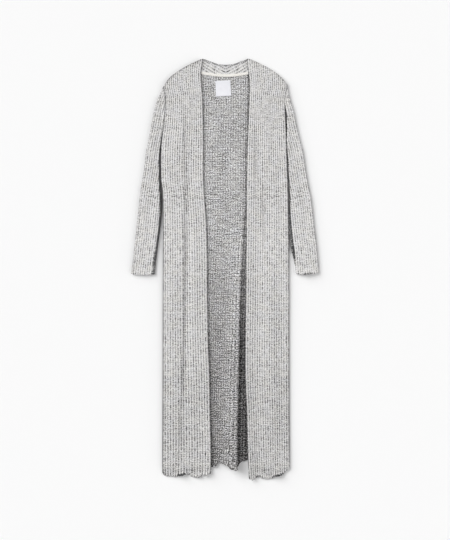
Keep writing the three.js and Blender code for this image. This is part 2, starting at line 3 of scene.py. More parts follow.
import bpy
import numpy as np
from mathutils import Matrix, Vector


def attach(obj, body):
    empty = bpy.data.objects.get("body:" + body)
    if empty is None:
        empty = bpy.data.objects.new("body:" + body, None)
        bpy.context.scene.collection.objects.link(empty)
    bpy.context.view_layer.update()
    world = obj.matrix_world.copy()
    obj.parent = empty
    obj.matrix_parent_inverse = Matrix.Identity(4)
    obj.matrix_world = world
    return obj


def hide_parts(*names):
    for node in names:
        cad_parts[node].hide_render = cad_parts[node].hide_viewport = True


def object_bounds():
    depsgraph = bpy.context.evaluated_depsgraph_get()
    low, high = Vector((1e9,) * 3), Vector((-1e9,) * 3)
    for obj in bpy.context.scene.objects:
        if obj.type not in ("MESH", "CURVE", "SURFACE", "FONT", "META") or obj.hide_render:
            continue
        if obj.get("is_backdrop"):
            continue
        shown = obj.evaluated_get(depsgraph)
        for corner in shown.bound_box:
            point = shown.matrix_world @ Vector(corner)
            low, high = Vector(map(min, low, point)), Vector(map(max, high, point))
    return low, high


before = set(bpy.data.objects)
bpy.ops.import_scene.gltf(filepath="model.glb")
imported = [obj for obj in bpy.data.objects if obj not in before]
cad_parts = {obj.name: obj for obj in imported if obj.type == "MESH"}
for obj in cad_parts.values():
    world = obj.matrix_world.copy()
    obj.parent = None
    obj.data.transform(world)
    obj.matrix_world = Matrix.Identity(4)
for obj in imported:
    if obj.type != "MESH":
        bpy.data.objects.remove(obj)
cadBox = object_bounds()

# A duster cardigan in ribbed marl knit, laid flat and open, face up.
# Shapes are worked out in millimetres and become metres when a mesh is made.
# Left and right are the viewer's. X runs right, Y from the hem to the neck, Z up from the table.
mm = 0.001

cloth = {
    "wall": 1.8,         # from the plain side to a rib's groove
    "rib": 1.3,          # from a rib's groove to its crest
    "backRib": 1.0,
    "frontAtEdge": 3.5,  # height of a front's plain side along its side seam
    "puff": 2.1,         # how much higher it lies away from the seam
    "backAtEdge": 1.0,   # height of the back's plain side along the side seam
    "roll": 8.0,         # width of the rounded edge along seams and folds
    "course": 7.0,       # length of one row of purl dots along a rib
    "perRib": 6,         # columns of points for each rib
    "rowStep": 6.5,      # from one row of points to the next
    "paintedRimShade": 0.24,    # painted shade on a cut rim, which would otherwise catch the light
}
bothSides = ("left", "right")
awayFrom = {"left": -1, "right": 1}    # the way in x from the middle to the outside


# Tables and curves

def columns(names, *rows):
    values = np.array(sorted(rows), float).T
    return dict(zip(names.split(), values))


def through(table, name):
    # a smooth curve through the rows of a table, from its first column to the named one
    xs = next(iter(table.values()))
    ys = table[name]
    before = np.maximum(np.arange(len(xs)) - 1, 0)
    after = np.minimum(np.arange(len(xs)) + 1, len(xs) - 1)
    slopes = (ys[after] - ys[before]) / (xs[after] - xs[before])

    def at(value):
        v = np.clip(value, xs[0], xs[-1])
        i = np.clip(np.searchsorted(xs, v, side="right") - 1, 0, len(xs) - 2)
        span = xs[i + 1] - xs[i]
        t = (v - xs[i]) / span
        rise = t * t * (3 - 2 * t)
        bend = slopes[i] * span * t * (1 - t) ** 2 - slopes[i + 1] * span * t * t * (1 - t)
        return ys[i] + (ys[i + 1] - ys[i]) * rise + bend

    return at


def rising(table, name):
    # the same curve, kept from falling below 0
    curve = through(table, name)
    return lambda value: np.maximum(curve(value), 0)


def bySide(table, curve=through):
    return {side: curve(table, side) for side in bothSides}


def inEach(tables, name, curve=through):
    return {key: curve(table, name) for key, table in tables.items()}


def lerp(a, b, t):
    return a + (b - a) * t


def ease(t):
    t = np.clip(t, 0, 1)
    return t * t * (3 - 2 * t)


def between(value, start, end):
    # 0 before start, 1 past end and smooth between, either way round
    return ease((start - value) / (start - end))


def rolled(distance, width=cloth["roll"]):
    # 1 on a seam or fold, falling to 0 where the rounded edge ends
    return (1 - np.clip(distance / width, 0, 1)) ** 2


def bell(distance, width):
    # 1 in the middle, falling away smoothly on both sides
    return np.exp(-((distance / width) ** 2))


def softNoise(x, y, sizeX, sizeY, seed):
    # smooth unevenness from -1 to 1, with bumps of the given size
    grid = np.random.default_rng(seed).uniform(-1, 1, (61, 67))
    u, v = x / sizeX + 400, y / sizeY + 400
    i, j = np.floor(u).astype(int), np.floor(v).astype(int)
    a, b = ease(u - i), ease(v - j)
    corner = lambda p, q: grid[(i + p) % 61, (j + q) % 67]
    low = lerp(corner(0, 0), corner(1, 0), a)
    high = lerp(corner(0, 1), corner(1, 1), a)
    return lerp(low, high, b)


# The garment's outline

sides = columns("y left right",
    (-630, -189, 190), (-300, -188, 189), (0, -187.5, 188), (120, -187, 187.5), (222, -188, 186),
    (246, -191, 185.5), (268, -193.5, 184.8), (310, -194.3, 183.2), (352, -193.8, 181.5),
    (385, -191.5, 180.5), (405, -189, 179.8), (430, -185.5, 179), (475, -182.3, 177),
    (505, -181, 176.5), (525, -182.5, 179), (543, -187.3, 183.6))
openings = columns("y left right",
    (-630, -45.5, 70), (-580, -44.5, 67.5), (-530, -44.5, 65.5), (-440, -46.5, 63), (-330, -48.5, 59),
    (-225, -52.5, 58.5), (-120, -54.5, 60), (65, -56.5, 62), (150, -59.5, 63), (225, -65, 63.5),
    (290, -67.8, 64), (380, -67, 66), (470, -69, 70), (520, -70.5, 72), (555, -73.5, 72.5),
    (583, -75, 69.5), (606, -73, 67), (629, -68, 65))
shoulder = columns("out y",
    (60, 630), (76, 626), (97, 616.5), (119, 605.5), (140, 593), (162, 576.5), (178, 558.7),
    (187.6, 543))
neckline = columns("out seam top",
    (0, 579, 610.3), (20, 579.4, 612.3), (34, 580.8, 616), (46, 582.6, 621), (57, 584.4, 624.8),
    (66, 586, 627.5), (81, 589.3, 624))
sideX, openingX = bySide(sides), bySide(openings)
shoulderAt, seamAt, collarTopAt = through(shoulder, "y"), through(neckline, "seam"), through(neckline, "top")
shoulderSlope = radians(30)


def shoulderY(x):
    return shoulderAt(np.abs(x))


def belowShoulder(x, y):
    return (shoulderY(x) - y) * cos(shoulderSlope)


def fromOutline(x, y):
    toSide = np.where(x < 0, x - sideX["left"](y), sideX["right"](y) - x)
    return np.maximum(np.minimum(toSide, belowShoulder(x, y)), 0)


# Meshes

def placed(name, data):
    obj = bpy.data.objects.new(name, data)
    bpy.context.scene.collection.objects.link(obj)
    return obj


def smoothFaces(mesh):
    mesh.polygons.foreach_set("use_smooth", np.ones(len(mesh.polygons), bool))


def unit(vectors):
    return vectors / np.maximum(np.linalg.norm(vectors, axis=-1, keepdims=True), 1e-9)


def outward(loop):
    # unit vectors that point away from a closed loop, in its own plane seen from above
    along = np.roll(loop, -1, 0) - np.roll(loop, 1, 0)
    across = unit(np.stack([along[:, 1], -along[:, 0], np.zeros(len(loop))], 1))
    x, y = loop[:, 0], loop[:, 1]
    area = np.sum(x * np.roll(y, -1) - np.roll(x, -1) * y)
    return across if area > 0 else -across


def gridNormals(points, ring):
    across = np.roll(points, -1, 1) - np.roll(points, 1, 1) if ring else np.gradient(points, axis=1)
    return unit(np.cross(across, np.gradient(points, axis=0)))


def shell(name, outer, inner, wale, course, relief, ring=False, bulge=0.8, ends=(1, 1), shade=0):
    # a closed cloth wall between two nets of the same size, with rounded rims; the nets are in rows of
    # courses, and wale, course and relief say how the knit lies on them. shade is painted shade: how far the
    # knit's colour is darkened towards its dark stop where the light would fall less
    rows, across = outer.shape[:2]
    count = rows * across
    index = np.arange(count).reshape(rows, across)
    right = np.roll(index, -1, 1) if ring else index[:, 1:]
    left = index if ring else index[:, :-1]
    corners = lambda a, b: np.stack([a[:-1], b[:-1], b[1:], a[1:]], -1).reshape(-1, 4)
    quads = corners(left, right)
    faces = [quads, quads[:, ::-1] + count]

    everywhere = lambda value: np.broadcast_to(value, (rows, across))
    u, v = everywhere(wale), everywhere(course)
    uRight = np.concatenate([u[:, 1:], 2 * u[:, -1:] - u[:, -2:-1]], 1) if ring else u[:, 1:]
    uLeft = u if ring else u[:, :-1]
    vLeft, vRight = (v, v) if ring else (v[:, :-1], v[:, 1:])
    quadUv = np.stack([corners(uLeft, uRight), corners(vLeft, vRight)], -1)
    uvs = [quadUv, quadUv[:, ::-1]]

    if ring:
        loops = [index[0], index[-1]]
    else:
        loops = [np.concatenate([index[0], index[1:, -1], index[-1, -2::-1], index[-2:0:-1, 0]])]
    points = [outer.reshape(-1, 3), inner.reshape(-1, 3)]
    flatU, flatV = u.reshape(-1), v.reshape(-1)
    made = 2 * count
    for k, loop in enumerate(loops):
        a, b = points[0][loop], points[1][loop]
        if ring:
            first = k * (rows - 2)
            away = unit((points[0][index[first]] - points[0][index[first + 1]]) * (1 - 2 * k))
        else:
            away = outward((a + b) / 2)
        points.append((a + b) / 2 + away * bulge * ends[k])
        mids = made + np.arange(len(loop))
        made += len(loop)
        following = np.roll(np.arange(len(loop)), -1)
        faces.append(np.stack([loop[following], loop, mids, mids[following]], -1))
        faces.append(np.stack([mids[following], mids, loop + count, loop[following] + count], -1))
        uvHere = np.stack([flatU[loop], flatV[loop]], -1)
        uvNext = np.stack([flatU[loop[following]], flatV[loop[following]]], -1)
        rimUv = np.stack([uvNext, uvHere, uvHere, uvNext], 1)
        uvs += [rimUv, rimUv]
    if ring:
        # the rim at the far end turns the other way
        for part in (-1, -2):
            faces[part], uvs[part] = faces[part][:, ::-1], uvs[part][:, ::-1]

    verts = np.concatenate(points) * mm
    quads = np.concatenate(faces)
    a, b, c, d = (verts[quads[:, k]] for k in range(4))
    volume = np.sum(a * np.cross(b, c)) + np.sum(a * np.cross(c, d))
    uv = np.concatenate(uvs)
    if volume < 0:
        quads, uv = quads[:, ::-1], uv[:, ::-1]

    mesh = bpy.data.meshes.new(name)
    mesh.from_pydata(verts.tolist(), [], quads.tolist())
    mesh.uv_layers.new(name="knit").data.foreach_set("uv", uv.reshape(-1).astype(np.float32))
    rim = np.zeros(made - 2 * count)
    # painted shade on the rims, none at an end that is not rounded out
    paintedRimShade = np.concatenate([np.full(len(loop), cloth["paintedRimShade"] * ends[k])
                               for k, loop in enumerate(loops)])
    reliefs, shades = everywhere(relief).reshape(-1), everywhere(shade).reshape(-1)
    values = {
        "wale": np.concatenate([flatU, flatU, rim]),
        "course": np.concatenate([flatV, flatV, rim]),
        "relief": np.concatenate([reliefs, 0 * reliefs, rim]),
        "shade": np.concatenate([shades, shades, paintedRimShade]),
    }
    for key, value in values.items():
        mesh.attributes.new(key, "FLOAT", "POINT").data.foreach_set("value", value.astype(np.float32))
    smoothFaces(mesh)
    mesh.update()
    return placed(name, mesh)


# Nodes

def addNode(tree, kind, settings=None, inputs=None):
    node = tree.nodes.new(kind)
    for key, value in (settings or {}).items():
        setattr(node, key, value)
    for key, value in (inputs or {}).items():
        socket = node.inputs[key]
        if isinstance(value, bpy.types.NodeSocket):
            tree.links.new(value, socket)
        else:
            socket.default_value = value
    return node


def mathIn(tree):
    # makes a tree's math nodes, each fed with numbers or sockets
    return lambda operation, *values: addNode(tree, "ShaderNodeMath", {"operation": operation},
                                              dict(enumerate(values))).outputs[0]


def ramped(tree, value, *stops):
    # a colour ramp; each stop is a place and a colour, and the two ends come first
    node = addNode(tree, "ShaderNodeValToRGB", None, {0: value})
    elements = node.color_ramp.elements
    for k, (place, colour) in enumerate(stops):
        element = elements[k] if k < 2 else elements.new(place)
        element.position, element.color = place, colour
    return node.outputs[0]


def linear(hexColour, alpha=1.0):
    channels = [int(hexColour[i:i + 2], 16) / 255 for i in (1, 3, 5)]
    return (*[c / 12.92 if c <= 0.04045 else ((c + 0.055) / 1.055) ** 2.4 for c in channels], alpha)


def settled(obj):
    # the evaluated result as a plain mesh under the same name, with the modifiers gone
    graph = bpy.context.evaluated_depsgraph_get()
    mesh = bpy.data.meshes.new_from_object(obj.evaluated_get(graph))
    name = obj.name
    old = obj.data
    bpy.data.objects.remove(obj)
    (bpy.data.meshes if isinstance(old, bpy.types.Mesh) else bpy.data.curves).remove(old)
    mesh.name = name
    return placed(name, mesh)


def newGroup(name, **inputs):
    # a node group from geometry to geometry, with further inputs of the given kinds
    tree = bpy.data.node_groups.new(name, "GeometryNodeTree")
    ids = {}
    for key, kind in {"geometry": "Geometry", **inputs}.items():
        ids[key] = tree.interface.new_socket(name=key.capitalize(), in_out="INPUT",
                                             socket_type="NodeSocket" + kind).identifier
    tree.interface.new_socket(name="Geometry", in_out="OUTPUT", socket_type="NodeSocketGeometry")
    return tree, ids, addNode(tree, "NodeGroupInput").outputs


def finishGroup(tree, geometry, material):
    real = addNode(tree, "GeometryNodeRealizeInstances", None, {0: geometry})
    done = addNode(tree, "GeometryNodeSetMaterial", None, {"Geometry": real.outputs[0], "Material": material})
    addNode(tree, "NodeGroupOutput", None, {"Geometry": done.outputs[0]})


def makeRibTree():
    # pushes a shell's points out along its normals into rounded ribs
    tree, ids, given = newGroup("raisedRibs", height="Float", fullness="Float", bead="Float",
                                material="Material")
    calc = mathIn(tree)
    read = lambda name: addNode(tree, "GeometryNodeInputNamedAttribute", {"data_type": "FLOAT"},
                                {"Name": name}).outputs["Attribute"]
    phase = calc("MULTIPLY", read("wale"), pi)
    crest = calc("POWER", calc("ABSOLUTE", calc("SINE", phase)), given["Fullness"])
    dots = calc("COSINE", calc("MULTIPLY", read("course"), 2 * pi))
    beads = calc("MULTIPLY", calc("MULTIPLY", dots, crest), given["Bead"])
    raised = calc("ADD", calc("MULTIPLY", crest, given["Height"]), beads)
    amount = calc("MULTIPLY", raised, read("relief"))
    normal = addNode(tree, "GeometryNodeInputNormal").outputs["Normal"]
    push = addNode(tree, "ShaderNodeVectorMath", {"operation": "SCALE"}, {0: normal, "Scale": amount})
    moved = addNode(tree, "GeometryNodeSetPosition", None,
                    {"Geometry": given["Geometry"], "Offset": push.outputs[0]})
    finishGroup(tree, moved.outputs[0], given["Material"])
    return tree, ids


stitchShape = {"segments": 8, "rings": 6, "wobble": 0.12}


def makeStitchTree():
    # lays short thread stitches end to end along a curve
    tree, ids, given = newGroup("stitchRow", spacing="Float", length="Float", thread="Float", slant="Float",
                                material="Material", seed="Int")
    calc = mathIn(tree)
    spaced = addNode(tree, "GeometryNodeCurveToPoints", {"mode": "LENGTH"},
                     {"Curve": given["Geometry"], "Length": given["Spacing"]})
    thread = addNode(tree, "GeometryNodeMeshUVSphere", None, {
        "Segments": stitchShape["segments"], "Rings": stitchShape["rings"], "Radius": given["Thread"]})
    stretch = calc("DIVIDE", calc("MULTIPLY", given["Length"], 0.5), given["Thread"])
    size = addNode(tree, "ShaderNodeCombineXYZ", None, {"X": stretch, "Y": 1.0, "Z": 1.0})
    capsule = addNode(tree, "GeometryNodeTransform", None,
                      {"Geometry": thread.outputs["Mesh"], "Scale": size.outputs[0]})
    wobble = addNode(tree, "FunctionNodeRandomValue", {"data_type": "FLOAT"}, {
        "Min": -stitchShape["wobble"], "Max": stitchShape["wobble"], "Seed": given["Seed"]})
    angle = addNode(tree, "ShaderNodeCombineXYZ", None, {"Z": calc("ADD", wobble.outputs[1], given["Slant"])})
    alongCurve = addNode(tree, "FunctionNodeAlignRotationToVector", {"axis": "X"},
                         {"Vector": spaced.outputs["Tangent"]})
    turned = addNode(tree, "FunctionNodeRotateRotation", {"rotation_space": "LOCAL"},
                     {"Rotation": alongCurve.outputs[0], "Rotate By": angle.outputs[0]})
    stitches = addNode(tree, "GeometryNodeInstanceOnPoints", None,
                       {"Points": spaced.outputs["Points"], "Instance": capsule.outputs[0],
                        "Rotation": turned.outputs[0]})
    finishGroup(tree, stitches.outputs[0], given["Material"])
    return tree, ids


ribTree, ribIds = makeRibTree()
stitchTree, stitchIds = makeStitchTree()


def withTree(obj, tree, ids, **values):
    modifier = obj.modifiers.new("shape", "NODES")
    modifier.node_group = tree
    for key, value in values.items():
        modifier[ids[key]] = value
    obj.update_tag()
    return settled(obj)


def wear(obj, slot, *nodes):
    # every finished piece rides on the one body and stands for its solid
    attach(obj, "root")
    if nodes:
        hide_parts(*nodes)
    return obj


# Materials

def newMaterial(name, inputs):
    material = bpy.data.materials.new(name)
    material.use_nodes = True
    tree = material.node_tree
    tree.nodes.clear()
    surface = addNode(tree, "ShaderNodeBsdfPrincipled", None, inputs)
    addNode(tree, "ShaderNodeOutputMaterial", None, {"Surface": surface.outputs[0]})
    return material, tree, surface


def bumped(tree, surface, strength, depth, height):
    bump = addNode(tree, "ShaderNodeBump", None, {"Strength": strength, "Distance": depth, "Height": height})
    tree.links.new(bump.outputs[0], surface.inputs["Normal"])


# bumps for each wale and each course, detail and a place of its own, then what becomes 0 and what becomes 1
knitNoise = {
    "groove": (5.1, 0.45, 1.0, 1.0, 0.3, 0.7),
    "dash": (6.1, 1.6, 1.0, 2.0, 0.32, 0.62),
    "fleck": (2.7, 2.4, 2.0, 3.0, 0.32, 0.68),
    "streak": (0.22, 1.5, 2.0, 4.0, 0.3, 0.7),
    "cloud": (0.12, 0.03, 2.0, 5.0),
    "warmth": (0.3, 0.25, 2.0, 6.0, 0.3, 0.7),
    "fibre": (9.0, 22.0, 2.0, 7.0),
    "wave": (0.35, 0.3, 1.0, 8.0),
    "purl": (1.1, 1.0, 1.0, 9.0, 0.3, 0.65),
}
knitShape = {
    "dashSwing": 0.3,
    "grooveLeast": 0.2,       # the strength of the faintest groove
    "ribMiddle": 0.64,        # the mean of a crest from groove to groove
    "wave": 1.3,              # how far the rows of purl bumps wander, in courses
    "rowsPerCourse": 2.0, "legSlant": 1.6, "fibre": 0.5,
    "bump": 0.5, "bumpDepth": 0.0006,
}


def knitMaterial(name, look):
    # Marl rib knit: a light and a dark ply twisted together, knitted in raised wales with narrow grooves.
    # The eye sees pale ribs, grooves broken into dashes of painted shade, and flecks and streaks along the
    # courses.
    material, tree, surface = newMaterial(name, {
        "Roughness": 0.92, "Specular IOR Level": 0.15, "Sheen Weight": look["sheen"], "Sheen Roughness": 0.6})
    calc = mathIn(tree)
    uv = addNode(tree, "ShaderNodeUVMap", {"uv_map": "knit"}).outputs[0]
    split = addNode(tree, "ShaderNodeSeparateXYZ", None, {0: uv}).outputs
    wale, course = split[0], split[1]

    def uneven(kind, vector=uv):
        x, y, detail, step, *ends = knitNoise[kind]
        size = addNode(tree, "ShaderNodeVectorMath", {"operation": "MULTIPLY_ADD"},
                       {0: vector, 1: (x, y, 1.0), 2: (7.3 * step, 3.1 * step, look["seed"] + step)})
        value = addNode(tree, "ShaderNodeTexNoise", {"noise_dimensions": "3D"},
                        {"Vector": size.outputs[0], "Scale": 1.0, "Detail": detail,
                         "Roughness": 0.55}).outputs[0]
        if not ends:
            return value
        return addNode(tree, "ShaderNodeMapRange", {"interpolation_type": "SMOOTHSTEP"},
                       {"Value": value, "From Min": ends[0], "From Max": ends[1]}).outputs[0]

    # the grooves are painted dark as painted shade; every groove has a strength of its own, comes and goes
    # along the cloth, and is broken into dashes
    crest = calc("ABSOLUTE", calc("SINE", calc("MULTIPLY", wale, pi)))
    groove = calc("POWER", calc("SUBTRACT", 1.0, crest), look["grooveNarrow"])
    nearest = calc("ROUND", wale)
    perGroove = addNode(tree, "ShaderNodeCombineXYZ", None, {"X": nearest, "Y": course}).outputs[0]
    jitter = addNode(tree, "ShaderNodeTexWhiteNoise", {"noise_dimensions": "1D"}, {"W": nearest}).outputs[0]
    pulse = calc("SINE", calc("MULTIPLY", calc("ADD", course, jitter), 2 * pi))
    dashes = calc("MULTIPLY_ADD", pulse, knitShape["dashSwing"], uneven("dash", perGroove))
    least = knitShape["grooveLeast"]
    strength = calc("MULTIPLY_ADD", uneven("groove", perGroove), 1 - least, least)
    darkness = calc("MULTIPLY", groove, calc("MULTIPLY", strength, dashes))

    # purl bumps stand in wavy rows, some bright and some lost
    wavy = calc("MULTIPLY_ADD", uneven("wave"), knitShape["wave"], course)
    bumps = calc("MULTIPLY", calc("COSINE", calc("MULTIPLY", wavy, 2 * pi)), crest)
    purl = calc("MULTIPLY", bumps, uneven("purl"))
    # painted shade, read from the meshes
    paintedShade = addNode(tree, "ShaderNodeAttribute", {"attribute_name": "shade"}).outputs["Fac"]

    # 0.5 is the yarn's mean shade. The plies turn up by chance, in short flecks, streaks and broad clouds.
    # Painted shade from the meshes and in the grooves, and a little painted highlight on the crests, come on
    # top
    parts = [
        (paintedShade, 0.0, -1.0),
        (darkness, 0.0, -look["grooveShade"]), (crest, knitShape["ribMiddle"], look["ribShade"]),
        (uneven("fleck"), 0.5, look["fleckShade"]), (uneven("streak"), 0.5, look["streakShade"]),
        (uneven("cloud"), 0.5, look["cloudShade"]), (purl, 0.0, look["purlShade"]),
    ]
    shade = 0.5
    for part, middle, amount in parts:
        shade = calc("MULTIPLY_ADD", part, amount, calc("SUBTRACT", shade, middle * amount))
    ramp = ramped(tree, shade, (0.0, linear(look["dark"])), (1.0, linear(look["light"])),
                  (0.5, linear(look["mean"])))

    # one ply is a little warmer than the other
    tint = addNode(tree, "ShaderNodeMix", {"data_type": "RGBA"},
                   {0: uneven("warmth"), 6: linear("#fcfdff"), 7: linear("#fffffd")})
    colour = addNode(tree, "ShaderNodeMix", {"data_type": "RGBA", "blend_type": "MULTIPLY"},
                     {0: 1.0, 6: ramp, 7: tint.outputs[2]})
    tree.links.new(colour.outputs[2], surface.inputs["Base Color"])

    # V stitches, two legs to a rib, with fibres along the yarn
    legs = calc("ABSOLUTE", calc("SUBTRACT", calc("FRACT", wale), 0.5))
    chevron = calc("MULTIPLY_ADD", course, knitShape["rowsPerCourse"],
                   calc("MULTIPLY", legs, knitShape["legSlant"]))
    loops = calc("ABSOLUTE", calc("SINE", calc("MULTIPLY", chevron, pi)))
    height = calc("MULTIPLY_ADD", uneven("fibre"), knitShape["fibre"],
                  calc("MULTIPLY", loops, look["loopBump"]))
    bumped(tree, surface, knitShape["bump"], knitShape["bumpDepth"], height)
    return material


knitLooks = {
    "marlRibKnit": {
        "dark": "#3b3b3c", "mean": "#e1dfde", "light": "#ffffff", "grooveNarrow": 1.5, "grooveShade": 0.68,
        "ribShade": 0.1, "fleckShade": 0.4, "streakShade": 0.14, "cloudShade": 0.16,
        "purlShade": 0.08, "loopBump": 1.0, "sheen": 0.12, "seed": 1.0,
    },
    # the inside's mean colour is a deeper grey: partly its reverse face, partly painted shade inside the
    # garment
    "marlRibKnitInside": {
        "dark": "#23211f", "mean": "#bdbbbb", "light": "#ffffff", "grooveNarrow": 1.2, "grooveShade": 0.3,
        "ribShade": 0.1, "fleckShade": 0.9, "streakShade": 0.25, "cloudShade": 0.24,
        "purlShade": 0.2, "loopBump": 0.7, "sheen": 0.1, "seed": 41.0,
    },
}
knit = {name: knitMaterial(name, look) for name, look in knitLooks.items()}
ribShapes = {
    "marlRibKnit": {"height": cloth["rib"] * mm, "fullness": 0.5, "bead": 0.00012},
    "marlRibKnitInside": {"height": cloth["backRib"] * mm, "fullness": 0.7, "bead": 0.00025},
}


def ribbed(obj, node, yarn="marlRibKnit"):
    # a plain shell raised into ribs, in place of its solid
    return wear(withTree(obj, ribTree, ribIds, material=knit[yarn], **ribShapes[yarn]), "knit", node)


def wovenMaterial(name, look):
    # Woven trim: fine threads crossing over and under. A tape reads cream and matt, a label white and smooth.
    material, tree, surface = newMaterial(name, {
        "Roughness": look["roughness"], "Sheen Weight": look["sheen"]})
    calc = mathIn(tree)
    place = addNode(tree, "ShaderNodeTexCoord").outputs["Object"]
    threads = addNode(tree, "ShaderNodeMapping", None,
                      {"Vector": place, "Rotation": (0, 0, radians(look["turn"]))}).outputs[0]
    weave = []
    for direction in ("X", "Y"):
        # at scale 1 the texture's wave turns by 20 radians for each metre
        weave.append(addNode(tree, "ShaderNodeTexWave", {"wave_type": "BANDS", "bands_direction": direction},
                             {"Vector": threads, "Scale": 1000 / look["mmPerRadian"] / 20, "Distortion": 0.6,
                              "Detail": 1.0}).outputs["Fac"])
    crossing = calc("MAXIMUM", *weave)
    cloudy = addNode(tree, "ShaderNodeTexNoise", None,
                     {"Vector": place, "Scale": 60.0, "Detail": 3.0}).outputs[0]
    mixed = calc("MULTIPLY_ADD", cloudy, 0.5, calc("MULTIPLY", crossing, 0.5))
    ramp = ramped(tree, mixed, (0.15, linear(look["dark"])), (0.85, linear(look["light"])))
    tree.links.new(ramp, surface.inputs["Base Color"])
    bumped(tree, surface, look["bump"], 0.0002, crossing)
    return material


cottonTape = wovenMaterial("cottonTwillTape", {
    "dark": "#dfdbd3", "light": "#fbf9f5", "mmPerRadian": 0.7, "turn": 45, "bump": 0.5,
    "roughness": 0.9, "sheen": 0.1})
wovenSatin = wovenMaterial("wovenSatinLabel", {
    "dark": "#dedee6", "light": "#f6f6fa", "mmPerRadian": 0.35, "turn": 3, "bump": 0.25,
    "roughness": 0.55, "sheen": 0.0})


def threadMaterial(name, colour):
    # Spun polyester sewing thread: two plies wound round each other, faintly glossy on their tops.
    material, tree, surface = newMaterial(name, {"Roughness": 0.6})
    place = addNode(tree, "ShaderNodeTexCoord").outputs["Object"]
    twist = addNode(tree, "ShaderNodeTexWave", {"wave_type": "BANDS", "bands_direction": "DIAGONAL"},
                    {"Vector": place, "Scale": 120.0, "Distortion": 1.0}).outputs["Fac"]
    # the grooves between the plies are painted shade
    grooved = (*[0.7 * c for c in linear(colour)[:3]], 1.0)
    tree.links.new(ramped(tree, twist, (0.0, grooved), (1.0, linear(colour))), surface.inputs["Base Color"])
    return material


creamThread = threadMaterial("creamSewingThread", "#e9e4d8")
greyThread = threadMaterial("greySewingThread", "#5e5d5f")
whiteThread = threadMaterial("whiteSewingThread", "#e6e6ea")
print("materials made")

# Panels

hems = {
    # under is how much painted shade lies below a lifted lip
    "left": columns("x y lift under",
        (-190, -609, 0.3, 0), (-184, -617, 0.2, 0), (-168, -620, 0.2, 0), (-152, -622, 0.8, 0),
        (-145, -621, 3, 0.2), (-141, -619, 6.5, 0.9), (-132, -618, 7.5, 1), (-124, -615, 6, 0.8),
        (-120, -612, 3, 0.2), (-113, -613, 1, 0), (-104, -619, 0.6, 0), (-94, -623, 1, 0),
        (-84, -624, 3, 0), (-76, -622, 4.2, 0.1), (-70.5, -611, 0.3, 1), (-65, -617, 4.4, 0.1),
        (-58, -617, 5, 0), (-50, -612, 4, 0)),
    "right": columns("x y lift under",
        (66, -626, 4, 0), (74, -629, 4, 0), (83, -629.5, 3, 0.1), (88, -625, 1, 0.5), (94, -622, 1.2, 0.7),
        (100, -622, 1.6, 0.2), (108, -625.5, 1.6, 0), (118, -627, 0.8, 0), (130, -627.5, 0.5, 0),
        (139, -626, 1.5, 0.1), (144, -623, 5.5, 0.8), (156, -620, 6.5, 1), (166, -616.5, 5, 0.8),
        (173, -612, 1.6, 0.2), (181, -605, 0.3, 0), (190, -595, 0.2, 0)),
    "back": columns("x y lift under",
        (-190, -588, 0, 0), (-62, -592, 0, 0), (-50, -590, 2.5, 0), (-38, -592, 4.2, 0), (-30, -589, 3.2, 0),
        (-24, -580, 0.6, 0.3), (-20, -577, 0.4, 0.3), (-12, -579, 1.2, 0), (0, -584, 2.4, 0),
        (7, -588, 2.8, 0.2), (12, -597, 2, 0.2), (24, -600, 1, 0), (31, -598, 0.5, 0), (36, -591, 0, 0),
        (46, -578, 0, 0), (60, -573, 0.8, 0), (72, -568, 1.2, 0), (90, -580, 0, 0), (190, -588, 0, 0)),
}
hemY, hemLift, hemUnder = inEach(hems, "y"), inEach(hems, "lift", rising), inEach(hems, "under", rising)
hem = {
    "reach": 40.0, "tooth": 2.2, "toothVaries": 2.4,
    "welt": 0.8, "weltWidth": 2.4, "weltAbove": 2.2,
    "lip": 0.34, "lipWidth": 3.5, "trough": 7.5, "troughWidth": 4.0, "troughDepth": 0.8,
    # painted shade along the cut end and below lifted lips
    "shade": 0.12, "shadeWidth": 4.0, "underShade": 0.34, "underSpan": (2.8, 4.8),
}

tuck = columns("y x height",      # the fold's crest, before it leans over
    (-600, 22, 19), (-513, 22.5, 17.5), (-393, 26, 15), (-273, 30, 12.5), (-147, 33.8, 10), (-33, 38.5, 7),
    (117, 49, 3), (207, 52.5, 0), (600, 53.5, 0))
tuckX, tuckHeight = through(tuck, "x"), rising(tuck, "height")
tuckShape = {"slope": 62.0, "drop": 6.0, "lean": 0.6, "leanWidth": 16.0}

